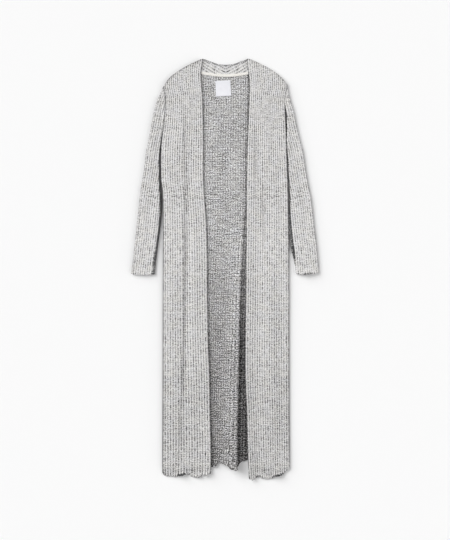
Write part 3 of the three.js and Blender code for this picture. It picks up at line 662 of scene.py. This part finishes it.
edgeLift = columns("y left right",
    (-620, 3.5, 8), (-520, 2.5, 7.5), (-400, 1, 6), (-250, 0.5, 4.5), (-100, 0.3, 3), (100, 0, 1.2),
    (240, 0, 0), (629, 0, 0))
liftOf = bySide(edgeLift, rising)
fronts = {
    "ribs": 18,
    "height": 1240,           # about, for the number of rows
    "edgeShade": 0.25,        # painted shade along both edges, where the rim would catch the light
    # painted shade on the edge that faces the light and along the shoulder
    "litEdgeShade": {"left": 0.22, "right": 0.06},
    "shoulderShade": {"left": 0.3, "right": 0.16}, "shoulderShadeWidth": 10.0,
    "bareSpan": (-555.0, -595.0),    # here the right front's edge gets less of the painted edge shade
    "creaseShade": 0.028,     # painted shade in the troughs, for each mm of a trough's depth
    "shade": 0.07, "shadeSpan": (100.0, -450.0),    # painted shade, a little greyer towards the hem
    "liftWidth": 36.0,
    "edgeRoll": 1.4,          # how far the open edge turns down
    "edgeRollWidth": 5.0,
    "sink": 3.2, "sinkSpan": (-588.0, -614.0),    # past the back's hem a front sinks to the table
    "creaseFade": 110.0,
    # top, x there, bottom, x there, width, height: troughs are below 0
    "creases": {
        "left": [
            (520, -127, -60, -120, 6.5, -3.0), (60, -120, -600, -141, 7, -2.2), (400, -119, 0, -115, 3, -0.8),
            (510, -133, 20, -127, 6, 0.4), (170, -121.5, -420, -127, 6, -2.5),
            (430, -146, -560, -156, 14, 0.7), (330, -98, -420, -104, 12, 0.7),
            (560, -98, 250, -104, 11, -0.7), (-300, -90, -610, -86, 10, -0.8),
        ],
        "right": [
            (470, 88, 150, 86, 6, -2.3), (270, 111, 20, 112, 6, -2.2), (-60, 150, -560, 158, 16, -1.4),
            (380, 146, -120, 140, 15, 0.7), (-260, 116, -600, 120, 16, 0.7),
            (560, 128, 300, 150, 12, -0.8), (-330, 92, -620, 90, 8, -0.9),
        ],
    },
}
seamClosed = columns("y left right",      # how far the armhole's seam draws the two pieces level
    (160, 0, 0), (220, 0, 0.4), (370, 0, 0.5), (405, 0, 0), (430, 0.3, 0), (470, 0.7, 0), (500, 0.8, 0.4),
    (543, 0.85, 0.8))
closedAt = bySide(seamClosed)
back = {
    "leftOfTuck": 32, "rightOfTuck": 18,
    "height": 1190,           # about, for the number of rows
    "shownFrom": 16, "shownTo": 41, "hiddenStep": 0.25,    # in ribs
    "openWidth": 14.0,        # the ripples fade out this far inside the opening
    "shade": 0.28, "shadeSpan": (250.0, -620.0),    # painted shade: the inside greyer towards the hem
    "foldShade": 0.47,        # painted shadow behind the tuck, most at its foot
    "footSpan": (1.0, 5.0), "footFade": 0.8, "fadeSpan": (7.0, 22.0),
    "tall": 15.0, "low": 10.0,    # a fold this high has its full painted shadow, and one this high its full painted light
    # the ridge before the fold keeps some light: less painted shade there
    "ridgeLight": 0.4, "ridgeBefore": 12.0, "ridgeWidth": 16.0,
    # painted shadow beside the right front's edge, which stands in the light's way
    "edgeShade": 0.3, "edgeShadeWidth": 15.0,
}


def creaseLift(creases, x, y, fade):
    # a trough is steep on its left and gentle on its right, a ridge the other way round
    lift = 0
    for top, topX, bottom, bottomX, width, height in creases:
        middle = lerp(topX, bottomX, (top - y) / (top - bottom))
        wander = 2.5 * softNoise(y, y * 0 + top, 120, 1, 5)
        near = ease(np.minimum(top - y, y - bottom) / fade)
        past = (x - middle - wander) * (1 if height < 0 else -1)
        reach = np.where(past < 0, 0.6, 2.6) * width
        lift = lift + height * near * bell(past, reach)
    return lift


def frontCreases(side, x, y):
    return creaseLift(fronts["creases"][side], x, y, fronts["creaseFade"])


def hemWave(name, x, y):
    above = np.maximum(y - hemY[name](x), 0)
    # the last courses curl up in a lip, with a small trough behind it
    curl = bell(above, hem["lipWidth"])
    trough = hem["troughDepth"] * bell(above - hem["trough"], hem["troughWidth"])
    return hemLift[name](x) * (rolled(above, hem["reach"]) + hem["lip"] * (curl - trough))


def underShade(under, above):
    # painted shade below a lifted lip
    return hem["underShade"] * under * (1 - between(above, *hem["underSpan"]))


def hemShade(name, x, above):
    # the cut end gets a little painted shade all along
    return hem["shade"] * bell(above, hem["shadeWidth"]) + underShade(hemUnder[name](x), above)


def welt(above):
    # the thicker rolled edge just above a hem
    return hem["welt"] * bell(above - hem["weltAbove"], hem["weltWidth"])


def leanOver(x, y):
    # the fold's crest hangs over the strip to its right
    past = x - tuckX(y)
    near = np.where(past < 0, ease(1 + past / tuckShape["leanWidth"]), 1 - ease(past / tuckShape["drop"]))
    return tuckShape["lean"] * tuckHeight(y) * near


def backHeight(x, y):
    past = x - tuckX(y)
    slope = 0.5 + 0.5 * np.cos(pi * np.clip(-past / tuckShape["slope"], 0, 1))
    drop = 1 - ease(past / tuckShape["drop"])
    tucked = tuckHeight(y) * np.where(past < 0, slope, drop)
    inOpening = np.minimum(x - openingX["left"](y), openingX["right"](y) - x)
    shown = ease(inOpening / back["openWidth"])
    wrinkle = 0.5 * softNoise(x, y, 55, 13, 3) * softNoise(x, y, 90, 140, 8)
    return (cloth["backAtEdge"] * rolled(fromOutline(x, y)) + tucked
            + (hemWave("back", x, y) + np.abs(wrinkle)) * shown)


def frontHeight(side, x, y):
    sunk = fronts["sink"] * between(y, *fronts["sinkSpan"])
    toEdge = np.abs(x - openingX[side](y))
    lifted = liftOf[side](y) * rolled(toEdge, fronts["liftWidth"])
    lying = (cloth["puff"] * (1 - rolled(fromOutline(x, y)) * (1 - closedAt[side](y)))
             + frontCreases(side, x, y)
             + 0.35 * softNoise(x, y, 34, 150, 21 if side == "left" else 22)
             * (1 - rolled(fromOutline(x, y), 16)))
    turned = fronts["edgeRoll"] * rolled(toEdge, fronts["edgeRollWidth"])
    return (cloth["frontAtEdge"] - sunk + lying * (1 - sunk / fronts["sink"]) + lifted - turned
            + hemWave(side, x, y))


def rowLevels(height):
    # shares of the height, close together at the hem and the top
    near = [0, 1.3, 2.6, 4, 6, 8.5, 12]
    count = int((height - near[-1] * 2) / cloth["rowStep"])
    middle = np.linspace(near[-1], height - near[-1], count)[1:-1]
    return np.concatenate([near, middle, height - np.array(near[::-1])]) / height


def panelNet(wales, levels, waleX, lowLine, highLine):
    # a rib's two ends lie on lines of their own, so they are found in a few rounds
    low, high = np.full(len(wales), -600.0), np.full(len(wales), 590.0)
    for _ in range(10):
        low, high = lowLine(waleX(wales, low)), highLine(waleX(wales, high), wales)
    # each rib ends in a small rounded tooth
    sizes = np.random.default_rng(len(wales)).uniform(-0.5, 0.5, 60)[np.floor(wales).astype(int)]
    low = low - (hem["tooth"] + hem["toothVaries"] * sizes) * np.abs(np.sin(pi * wales)) ** 0.7
    y = lerp(low, high, levels[:, None])
    return waleX(wales, y), y, y - low


def outside(base, above):
    # the outer net, a wall away from the inner one and thicker at the hem
    normal = gridNormals(base, False)
    normal = normal * np.sign(normal[..., 2].mean())
    return base + normal * (cloth["wall"] + welt(above))[..., None]


def flatterAtHem(above):
    return np.clip(above / 5, 0.5, 1)


def frontPanel(side):
    ribs = fronts["ribs"]
    waleX = lambda wale, y: lerp(sideX[side](y), openingX[side](y), wale / ribs)
    wales = np.linspace(0, ribs, ribs * cloth["perRib"] + 1)
    x, y, above = panelNet(wales, rowLevels(fronts["height"]), waleX, hemY[side],
                           lambda at, wale: shoulderY(at))
    base = np.stack([x, y, frontHeight(side, x, y)], -1)
    edge = np.minimum(wales, ribs - wales)
    relief = np.clip(edge * 1.6, 0.25, 1) * flatterAtHem(above)
    facesLight = ribs - wales if side == "right" else wales
    bare = between(y, *fronts["bareSpan"]) if side == "right" else 0
    # painted shade on the edges, the lit edge, the shoulder, the hem and the troughs
    shoulderShade = rolled(belowShoulder(x, y), fronts["shoulderShadeWidth"]) * ease(wales / 2)
    shade = (fronts["edgeShade"] * (1 - ease(edge / 0.6)) * (1 - 0.8 * bare)
             + fronts["shade"] * between(y, *fronts["shadeSpan"])
             + fronts["litEdgeShade"][side] * (1 - ease(facesLight)) + hemShade(side, x, above)
             + fronts["shoulderShade"][side] * shoulderShade
             - fronts["creaseShade"] * np.minimum(frontCreases(side, x, y), 0))
    obj = shell("front_knit_" + side, outside(base, above), base, wales, y / cloth["course"], relief,
                bulge=0.9, shade=shade)
    ribbed(obj, "front_" + side)


def backWaleX(wale, y):
    leftShare = wale / back["leftOfTuck"]
    rightShare = (wale - back["leftOfTuck"]) / back["rightOfTuck"]
    return np.where(wale <= back["leftOfTuck"], lerp(sideX["left"](y), tuckX(y), leftShare),
                    lerp(tuckX(y), sideX["right"](y), rightShare))


notch = {"left": (14.0, 14.5), "right": (35.0, 35.5)}   # between these the neckline steps down


def backTop(x, wale):
    isShoulder = (wale <= notch["left"][0]) | (wale >= notch["right"][1])
    return np.where(isShoulder, shoulderY(x), seamAt(np.abs(x)))


def backPanel():
    last = back["leftOfTuck"] + back["rightOfTuck"]
    start, end, step = back["shownFrom"], back["shownTo"], back["hiddenStep"]
    # hidden under the fronts the ribs need fewer points
    shown = np.linspace(start, end, (end - start) * cloth["perRib"] + 1)
    wales = np.concatenate([np.arange(0, 14, step), [14, 14.5, 15, 15.5], shown,
                            np.arange(end + step, last, step), [last]])
    x, y, above = panelNet(wales, rowLevels(back["height"]), backWaleX, hemY["back"], backTop)
    base = np.stack([x + leanOver(x, y), y, backHeight(x, y)], -1)
    relief = (1 - rolled(fromOutline(x, y), 12)) * flatterAtHem(above)
    # painted shade: greyer towards the hem, painted shadow behind the fold's foot and beside the right
    # front's edge, less on the ridge
    past = x - tuckX(y)
    fading = 1 - back["footFade"] * between(past, *back["fadeSpan"])
    behind = ease(tuckHeight(y) / back["tall"]) * between(past, *back["footSpan"]) * fading
    ridge = bell(past + back["ridgeBefore"], back["ridgeWidth"]) * ease(tuckHeight(y) / back["low"])
    beside = rolled(openingX["right"](y) - x, back["edgeShadeWidth"]) * (1 - behind)
    shade = (back["shade"] * between(y, *back["shadeSpan"]) * (1 - back["ridgeLight"] * ridge)
             + back["foldShade"] * behind + back["edgeShade"] * beside + hemShade("back", x, above))
    obj = shell("back_knit", outside(base, above), base, wales, y / cloth["course"], relief,
                bulge=0.6, shade=shade)
    return ribbed(obj, "back", "marlRibKnitInside")


backPiece = backPanel()
for side in bothSides:
    frontPanel(side)
print("panels made")

# Sleeves

sleeveOuter = columns("y left right",
    (543, -188, 185.2), (522, -199, 191), (496, -208.5, 196.5), (470, -215, 203.5),
    (430, -222.5, 211), (387, -231, 221.5), (350, -238, 230.5), (297, -244.5, 239), (250, -252, 247),
    (207, -258, 255.5), (125, -266.5, 264.5), (50, -275, 273.5), (-12, -282.5, 278.5))
sleeveInner = columns("y left right",
    (385, -192.3, 181.2), (352, -195.6, 183.5), (310, -196.2, 185.5), (268, -195.6, 187.5),
    (246, -193.6, 188.6), (222, -190.8, 189.4), (190, -190, 189.2), (162, -191.5, 189),
    (117, -196, 189.2), (86, -199.8, 190), (57, -203.5, 193), (35, -206, 200.5), (12, -208.2, 206.5),
    (-16, -210.5, 210.5))
reveal = columns("y left right",   # how far the lower layer shows past the upper one
    (385, 0, 0), (352, 1.6, 0.6), (310, 3, 1.2), (268, 3.2, 1.6), (222, 6.4, 2.4), (190, 6.8, 3.4),
    (162, 6.2, 4.6), (117, 5.6, 7.4), (86, 5.6, 10), (57, 6.4, 12), (35, 7, 7), (12, 7.8, 3), (-16, 8.6, 1.5))
cuffs = {
    "left": columns("across y lift under",
        (0, -14.5, 0.4, 0), (0.08, -16.5, 0.5, 0), (0.36, -18, 0.3, 0), (0.64, -18.5, 0.8, 0),
        (0.92, -17.5, 0.4, 0), (1, -15.5, 0.2, 0)),
    "right": columns("across y lift under",
        (0, -11, 0.2, 0), (0.08, -13.5, 0.4, 0), (0.26, -15, 1.2, 0), (0.34, -16, 2.5, 0.8),
        (0.43, -16.5, 5, 1), (0.55, -17.5, 6, 1), (0.66, -18.5, 4, 1), (0.74, -18, 2, 0.3),
        (0.85, -17, 0.8, 0), (1, -14.5, 0.2, 0)),
}
seamGap = columns("y left right",  # how far the upper layer draws back from the body along the armhole
    (300, 4.6, 3), (385, 4.6, 3.5), (402, 3, 6), (425, 0.6, 7), (472, 0, 6), (492, -0.1, 0.6),
    (543, -0.3, -0.3))
outerX, innerX, revealAt, creaseGap = (bySide(table) for table in (sleeveOuter, sleeveInner, reveal, seamGap))
cuffY, cuffLift, cuffUnder = inEach(cuffs, "y"), inEach(cuffs, "lift", rising), inEach(cuffs, "under", rising)
sleeve = {
    "ribs": 11, "pitch": 6.7, "rowStep": 5.5, "underPerRib": 4,
    "armholeTop": 543.0, "armholeFoot": 385.0, "cuffY": -14.0,
    "cap": 150.0,             # length of the slanting top, for the number of rows
    "cuffSpan": (0.8, 1.0),   # the share of its length that takes the cuff's form
    "turn": 1.9,
    "capShare": 0.16,
    "gap": 0.5,               # between the body and the sleeve's first course
    "foldInset": 3.0,         # from the outline to where the wall starts to turn round its fold
    "foldBulge": 1.6,
    "underBase": 2.4,         # height of the lower layer's inside
    "puffAtCuff": 0.8,
    "cuffReach": 24.0,
    # painted shade along the inner crease, on the lower layer by the armhole seam, and on the outer edge and
    # fold
    "creaseShade": {"left": 0.52, "right": 0.47},
    "seamShade": 0.6,
    "creaseFade": {"left": 0.2, "right": 0.85},
    "outerShade": {"left": 0.3, "right": 0.0},
    "foldShade": 0.25,
    "creaseReach": 60.0,      # a crease runs out over this length
    # top, x there, bottom, x there, width, height
    "creases": {
        "left": [
            (470, -192, 300, -214, 6, -1.4), (330, -222, 60, -238, 8, -0.8), (260, -206, 20, -222, 7, 0.6),
        ],
        "right": [
            (480, 186, 300, 206, 6, -1.2), (340, 220, 90, 240, 8, -0.8), (250, 204, 30, 226, 7, 0.6),
        ],
    },
}
sleeveDrop = sleeve["armholeFoot"] - sleeve["cuffY"]


def sleevePoint(side, across, along, isTop):
    # across runs from the outer fold (0) to the inner one (1), along from the armhole to the cuff
    innerY = lerp(sleeve["armholeFoot"], sleeve["cuffY"], along)
    outerY = innerY + (sleeve["armholeTop"] - sleeve["armholeFoot"]) * (1 - along) ** sleeve["turn"]
    y = lerp(outerY, innerY, across)
    shapedY = y + between(along, *sleeve["cuffSpan"]) * (cuffY[side](across) - sleeve["cuffY"])
    away = awayFrom[side]
    shown = revealAt[side](innerY) if isTop else 0
    outX = outerX[side](outerY) - away * sleeve["foldInset"]
    inX = innerX[side](innerY) + away * (sleeve["foldInset"] + shown)
    straight = lerp(outX, inX, across)
    armholeStraight = lerp(outerX[side](sleeve["armholeTop"]), innerX[side](sleeve["armholeFoot"]), across)
    creased = creaseGap[side](y) if isTop else 0
    armhole = sideX[side](y) + away * (sleeve["gap"] + creased)
    nearArmhole = rolled(along, sleeve["capShare"])
    insetGone = lerp(outX - outerX[side](outerY), inX - innerX[side](innerY), across) * nearArmhole
    return straight + (armhole - armholeStraight) * nearArmhole - insetGone, shapedY


def sleeveTube(side):
    away = awayFrom[side]
    rows = int((sleeveDrop + sleeve["cap"]) / sleeve["rowStep"])
    even = np.concatenate([np.linspace(0, 0.985, rows), [0.99, 0.9935, 0.9965, 1]])
    along = (even - 0.06 * np.sin(2 * pi * even))[:, None]
    top = np.linspace(0, 1, sleeve["ribs"] * cloth["perRib"] + 1)[None]
    bottom = np.linspace(1, 0, sleeve["ribs"] * sleeve["underPerRib"] + 1)[None]

    x, y = sleevePoint(side, top, along, True)
    innerY = lerp(sleeve["armholeFoot"], sleeve["cuffY"], along)
    toOuter = np.abs(outerX[side](y) - x)
    toInner = np.abs(innerX[side](innerY) - x)
    toArmhole = along * sleeveDrop + 0 * top
    toEdge = np.minimum(np.minimum(toOuter, toInner), toArmhole)
    nearCuff = between(along, *sleeve["cuffSpan"])
    puff = lerp(cloth["puff"], sleeve["puffAtCuff"], nearCuff)
    above = np.maximum(y - cuffY[side](top), 0)
    wave = cuffLift[side](top) * rolled(above, sleeve["cuffReach"])
    creases = (creaseLift(sleeve["creases"][side], x, y, sleeve["creaseReach"])
               + 0.3 * softNoise(x, y, 22, 90, 31))
    closed = closedAt[side](y) * (toArmhole < np.minimum(toOuter, toInner))
    topZ = (cloth["frontAtEdge"] + puff * (1 - rolled(toEdge) * (1 - closed)) + wave
            + creases * (1 - rolled(toEdge, 14)))
    topNet = np.stack([x, y, topZ], -1)
    bx, by = sleevePoint(side, bottom, along, False)
    bottomNet = np.stack([bx, by, np.full_like(bx, sleeve["underBase"])], -1)
    bulge = sleeve["foldBulge"] * ease(along / 0.04)
    turnPoints = 4
    topCount, bottomCount = top.size, bottom.size

    def fold(a, b, direction):
        # the wall's half turn between the layers
        turns = []
        for angle in np.arange(1, turnPoints + 1) * pi / (turnPoints + 1):
            point = lerp(a, b, (1 - cos(angle)) / 2)
            point[:, 0] += direction * bulge[:, 0] * sin(angle)
            turns.append(point)
        return np.stack(turns, 1)

    innerFold = fold(topNet[:, -1], bottomNet[:, 0], -away)
    outerFold = fold(bottomNet[:, -1], topNet[:, 0], away)
    ring = np.concatenate([topNet, innerFold, bottomNet, outerFold], 1)
    foldWales = np.arange(1, turnPoints + 1) * 0.2
    # the ribs run parallel to the outer fold and go under at the inner one
    topWales = toOuter / sleeve["pitch"]
    last = topWales[:, -1:]
    bottomWales = last + 1 + np.abs(bx - bx[:, :1]) / sleeve["pitch"]
    wales = np.concatenate([topWales, last + foldWales, bottomWales, topWales[:, :1] - 1 + foldWales], 1)
    normal = gridNormals(ring, True)
    middle = ring.mean(1, keepdims=True)
    facing = np.sum(normal * (ring - middle) * (1, 0, 50), -1, keepdims=True)
    normal = normal * (1 if np.mean(facing) > 0 else -1)
    cuffWelt = np.concatenate([above, np.repeat(above[:, -1:], ring.shape[1] - above.shape[1], 1)], 1)
    outer = ring + normal * (cloth["wall"] + 0.6 * welt(cuffWelt))[..., None]
    relief = np.ones(ring.shape[1])
    under = topCount + 2
    relief[under:under + bottomCount + turnPoints] = 0.3    # the underside lies flat
    relief = relief[None] * np.clip(toArmhole[:, :1] / 8, 0.3, 1)
    course = ring[..., 1] / cloth["course"]
    # painted shade on the outer edge, below lifted lips, along the inner crease and on the lower layer by the
    # armhole seam
    shade = np.zeros(ring.shape[:2])
    shade[:, :topCount] = (sleeve["outerShade"][side] * rolled(toOuter, 9)
                           + underShade(cuffUnder[side](top), above))
    shown = slice(topCount, topCount + 2 * turnPoints)
    shade[:, shown] = sleeve["creaseShade"][side] * (1 - sleeve["creaseFade"][side] * nearCuff)
    lowerLayer = slice(topCount + turnPoints, topCount + turnPoints + bottomCount)
    shade[:, lowerLayer] += sleeve["seamShade"] * (1 - ease(toArmhole[:, :1] / 18))
    shade[:, -turnPoints:] = sleeve["foldShade"]
    obj = shell("sleeve_knit_" + side, outer, ring, wales, course, relief, ring=True, bulge=0.9,
                ends=(0.0, 1.0), shade=shade)
    ribbed(obj, "sleeve_" + side)


for side in bothSides:
    sleeveTube(side)
print("sleeves made")

# Collar: the front bands carried round the back neck and joined at its centre

collar = {
    "pitch": 8.3,
    "slope": (0.45, 0.0017),  # a rib climbs by these for each mm, and mm squared, from the centre
    "slant": 0.86,            # the share of the upright distance between ribs that is left across them
    "join": 0.15, "joinRise": 0.5, "joinWidth": 5.0,
    "gap": 0.6,
    "footY": 590.0, "headY": 620.0,    # where the outer ends are read from the back's ribs
    "rows": 27, "columns": 60,
    # painted shade along the top edge
    "topShade": 0.25, "topShadeWidth": 10.0,
}


def collarHalf(side):
    away, gap = awayFrom[side], collar["gap"]
    wide, high = notch[side] if side == "left" else notch[side][::-1]
    foot = backWaleX(np.array([high]), collar["footY"])[0] - away * gap
    head = backWaleX(np.array([wide]), collar["headY"])[0] - away * gap
    up = np.linspace(0, 1, collar["rows"])[:, None]
    out = np.linspace(0, 1, collar["columns"])[None]
    x = lerp(away * collar["join"], lerp(foot, head, up), out)
    low = seamAt(np.abs(x)) + gap
    top = np.minimum(collarTopAt(np.abs(x)), shoulderY(x))
    y = lerp(low, top, up)
    z = cloth["backAtEdge"] * rolled(top - y) + collar["joinRise"] * bell(x, collar["joinWidth"])
    rise = collar["slope"][0] * np.abs(x) + collar["slope"][1] * x ** 2
    wale = (y - rise) * collar["slant"] / collar["pitch"]
    course = (np.abs(x) + 0.5 * y) / cloth["course"]
    base = np.stack([x, y, z], -1)
    outer = base + np.array([0, 0, cloth["wall"]])
    shade = collar["topShade"] * rolled(top - y, collar["topShadeWidth"])
    obj = shell("collar_knit_" + side, outer, base, wale, course, 1.0, bulge=0.8, shade=shade)
    ribbed(obj, "collar_" + side)


for side in bothSides:
    collarHalf(side)
print("collar made")

# Trims

trimBase = cloth["wall"] + cloth["backRib"] + 0.3
tape = {"left": -79.0, "right": 74.0, "aboveSeam": 0.15, "width": 8.2, "thickness": 0.8, "dome": 0.25,
        "sag": 0.12, "sagPitch": 7.3, "columns": 78, "rows": 9}
label = {"x": -7.4, "y": 540.3, "width": 45.5, "height": 46.5, "turn": 3.0, "thickness": 0.6, "hem": 5.0,
         "points": 24, "sewnFrom": 0.32, "sewnTo": 0.47, "sewnInset": 1.6}
seamStitches = {"below": 7.6, "sunk": 0.5}
labelTurn = radians(label["turn"])


def onLabel(dx, dy):
    # from the label's own directions to the garment's
    return (label["x"] + dx * cos(labelTurn) - dy * sin(labelTurn),
            label["y"] + dx * sin(labelTurn) + dy * cos(labelTurn))


def neckTape():
    x = np.linspace(tape["left"], tape["right"], tape["columns"])[:, None]
    middle = seamAt(np.abs(x)) + tape["aboveSeam"]
    across = np.linspace(-0.5, 0.5, tape["rows"])[None]
    y = middle + tape["width"] * across
    # it sinks a little between the ribs that it lies on, and domes over the seam
    sag = tape["sag"] * np.cos(x / tape["sagPitch"] * 2 * pi) + tape["dome"] * (1 - (2 * across) ** 2)
    base = np.stack([x + 0 * y, y, trimBase + sag], -1)
    outer = base + np.array([0, 0, tape["thickness"] - tape["dome"]])
    obj = shell("neck_tape_cotton", outer, base, 0 * across[0], 0 * y, 0.0, bulge=0.15)
    obj.data.materials.append(cottonTape)
    return wear(obj, "tape", "neck_tape")


def neckLabel():
    a = np.linspace(-0.5, 0.5, label["points"])[None]
    b = np.linspace(-0.5, 0.5, label["points"])[:, None]
    # woven labels are never quite square: the foot is pulled a little to one side
    dx = a * label["width"] * (1 - 0.02 * b)
    dy = b * label["height"]
    x, y = onLabel(dx, dy)
    folded = 0.25 * (np.abs(b) * label["height"] > label["height"] / 2 - label["hem"])
    curl = 0.5 * ease((np.abs(a) - 0.4) / 0.1) * ease((-b - 0.1) / 0.4) + 0.2 * softNoise(dx, dy, 17, 12, 4)
    base = np.stack([x + 0 * y, y + 0 * x, trimBase + np.maximum(curl, 0) + 0 * x], -1)
    outer = base + np.stack([0 * x, 0 * x, label["thickness"] * 0.6 + folded + 0 * x], -1)
    obj = shell("neck_label_satin", outer, base, 0 * a[0], 0 * y, 0.0, bulge=0.1)
    obj.data.materials.append(wovenSatin)
    wear(obj, "label", "neck_label")


tapePiece = neckTape()
neckLabel()


def stitchRow(name, points, material, spacing, length, thread, slant=0.0, seed=1, slot="tape"):
    curve = bpy.data.curves.new(name, "CURVE")
    curve.dimensions = "3D"
    spline = curve.splines.new("POLY")
    spline.points.add(len(points) - 1)
    spline.points.foreach_set("co", np.c_[np.array(points) * mm, np.ones(len(points))].ravel())
    obj = withTree(placed(name, curve), stitchTree, stitchIds, spacing=spacing * mm, length=length * mm,
                   thread=thread * mm, slant=slant, seed=seed, material=material)
    smoothFaces(obj.data)
    return wear(obj, slot)


tapeTop = trimBase + tape["thickness"] + 0.05
along = np.linspace(tape["left"] + 2, tape["right"] - 2, 60)
for name, shift, seed in (("tape_stitches_upper", 3.0, 3), ("tape_stitches_lower", -3.0, 4)):
    row = np.stack([along, seamAt(np.abs(along)) + tape["aboveSeam"] + shift, 0 * along + tapeTop], -1)
    stitchRow(name, row, creamThread, 2.6, 2.0, 0.22, seed=seed)
seamRow = np.stack([along, seamAt(np.abs(along)) - seamStitches["below"],
                    0 * along + trimBase - seamStitches["sunk"]], -1)
stitchRow("neck_seam_stitches", seamRow, greyThread, 7.0, 3.4, 0.42, slant=0.1, seed=5, slot="knit")
for side in bothSides:
    b = np.linspace(label["sewnFrom"], label["sewnTo"], 8) * label["height"]
    a = awayFrom[side] * (label["width"] / 2 - label["sewnInset"])
    row = np.stack([*onLabel(a, b), 0 * b + trimBase + label["thickness"] + 0.25], -1)
    stitchRow("label_stitches_" + side, row, whiteThread, 1.5, 1.2, 0.16,
              seed=7 + awayFrom[side], slot="label")
print("trims made")

# Floor, light and camera

studio = {
    "floor": "#fbfbfb", "reach": 90.0, "floorHeight": -0.0003,
    "ambient": 0.355,
    "key": {"strength": 3.3, "spread": 48, "elevation": 27, "azimuth": 145},   # from the upper left
    "fill": {"strength": 1.6, "spread": 60, "elevation": 18, "azimuth": -15},  # from the right
    "lens": 85.0,
    "frameWidth": 1.35,       # metres across 450 pixels
    "middle": (-0.00225, -0.00375),
}

floorMesh = bpy.data.meshes.new("floor")
corners = [(x * studio["reach"], y * studio["reach"], studio["floorHeight"])
           for x, y in ((-1, -1), (1, -1), (1, 1), (-1, 1))]
floorMesh.from_pydata(corners, [], [(0, 1, 2, 3)])
floorMesh.materials.append(newMaterial("whitePaper", {
    "Base Color": linear(studio["floor"]), "Roughness": 0.95, "Specular IOR Level": 0.1})[0])
placed("floor", floorMesh)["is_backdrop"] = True

world = bpy.data.worlds.new("studio")
world.use_nodes = True
backdrop = world.node_tree.nodes["Background"].inputs
backdrop["Color"].default_value = (1, 1, 1, 1)
backdrop["Strength"].default_value = studio["ambient"]
bpy.context.scene.world = world

for name in ("key", "fill"):
    softbox = studio[name]
    data = bpy.data.lights.new(name, "SUN")
    data.energy = softbox["strength"]
    data.angle = radians(softbox["spread"])
    up, around = radians(softbox["elevation"]), radians(softbox["azimuth"])
    toLight = Vector((cos(up) * cos(around), cos(up) * sin(around), sin(up)))
    placed(name, data).rotation_euler = (-toLight).to_track_quat("-Z", "Y").to_euler()

cameraData = bpy.data.cameras.new("camera")
cameraData.lens = studio["lens"]
cameraData.sensor_width = 36.0
camera = placed("camera", cameraData)
frameHeight = studio["frameWidth"] * 540 / 450
distance = frameHeight * studio["lens"] / cameraData.sensor_width
camera.location = (*studio["middle"], distance)
bpy.context.scene.camera = camera
bpy.context.scene.view_settings.view_transform = "Standard"
print("stage set")

{"cad": [list(corner) for corner in cadBox], "visual": [list(corner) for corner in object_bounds()]}
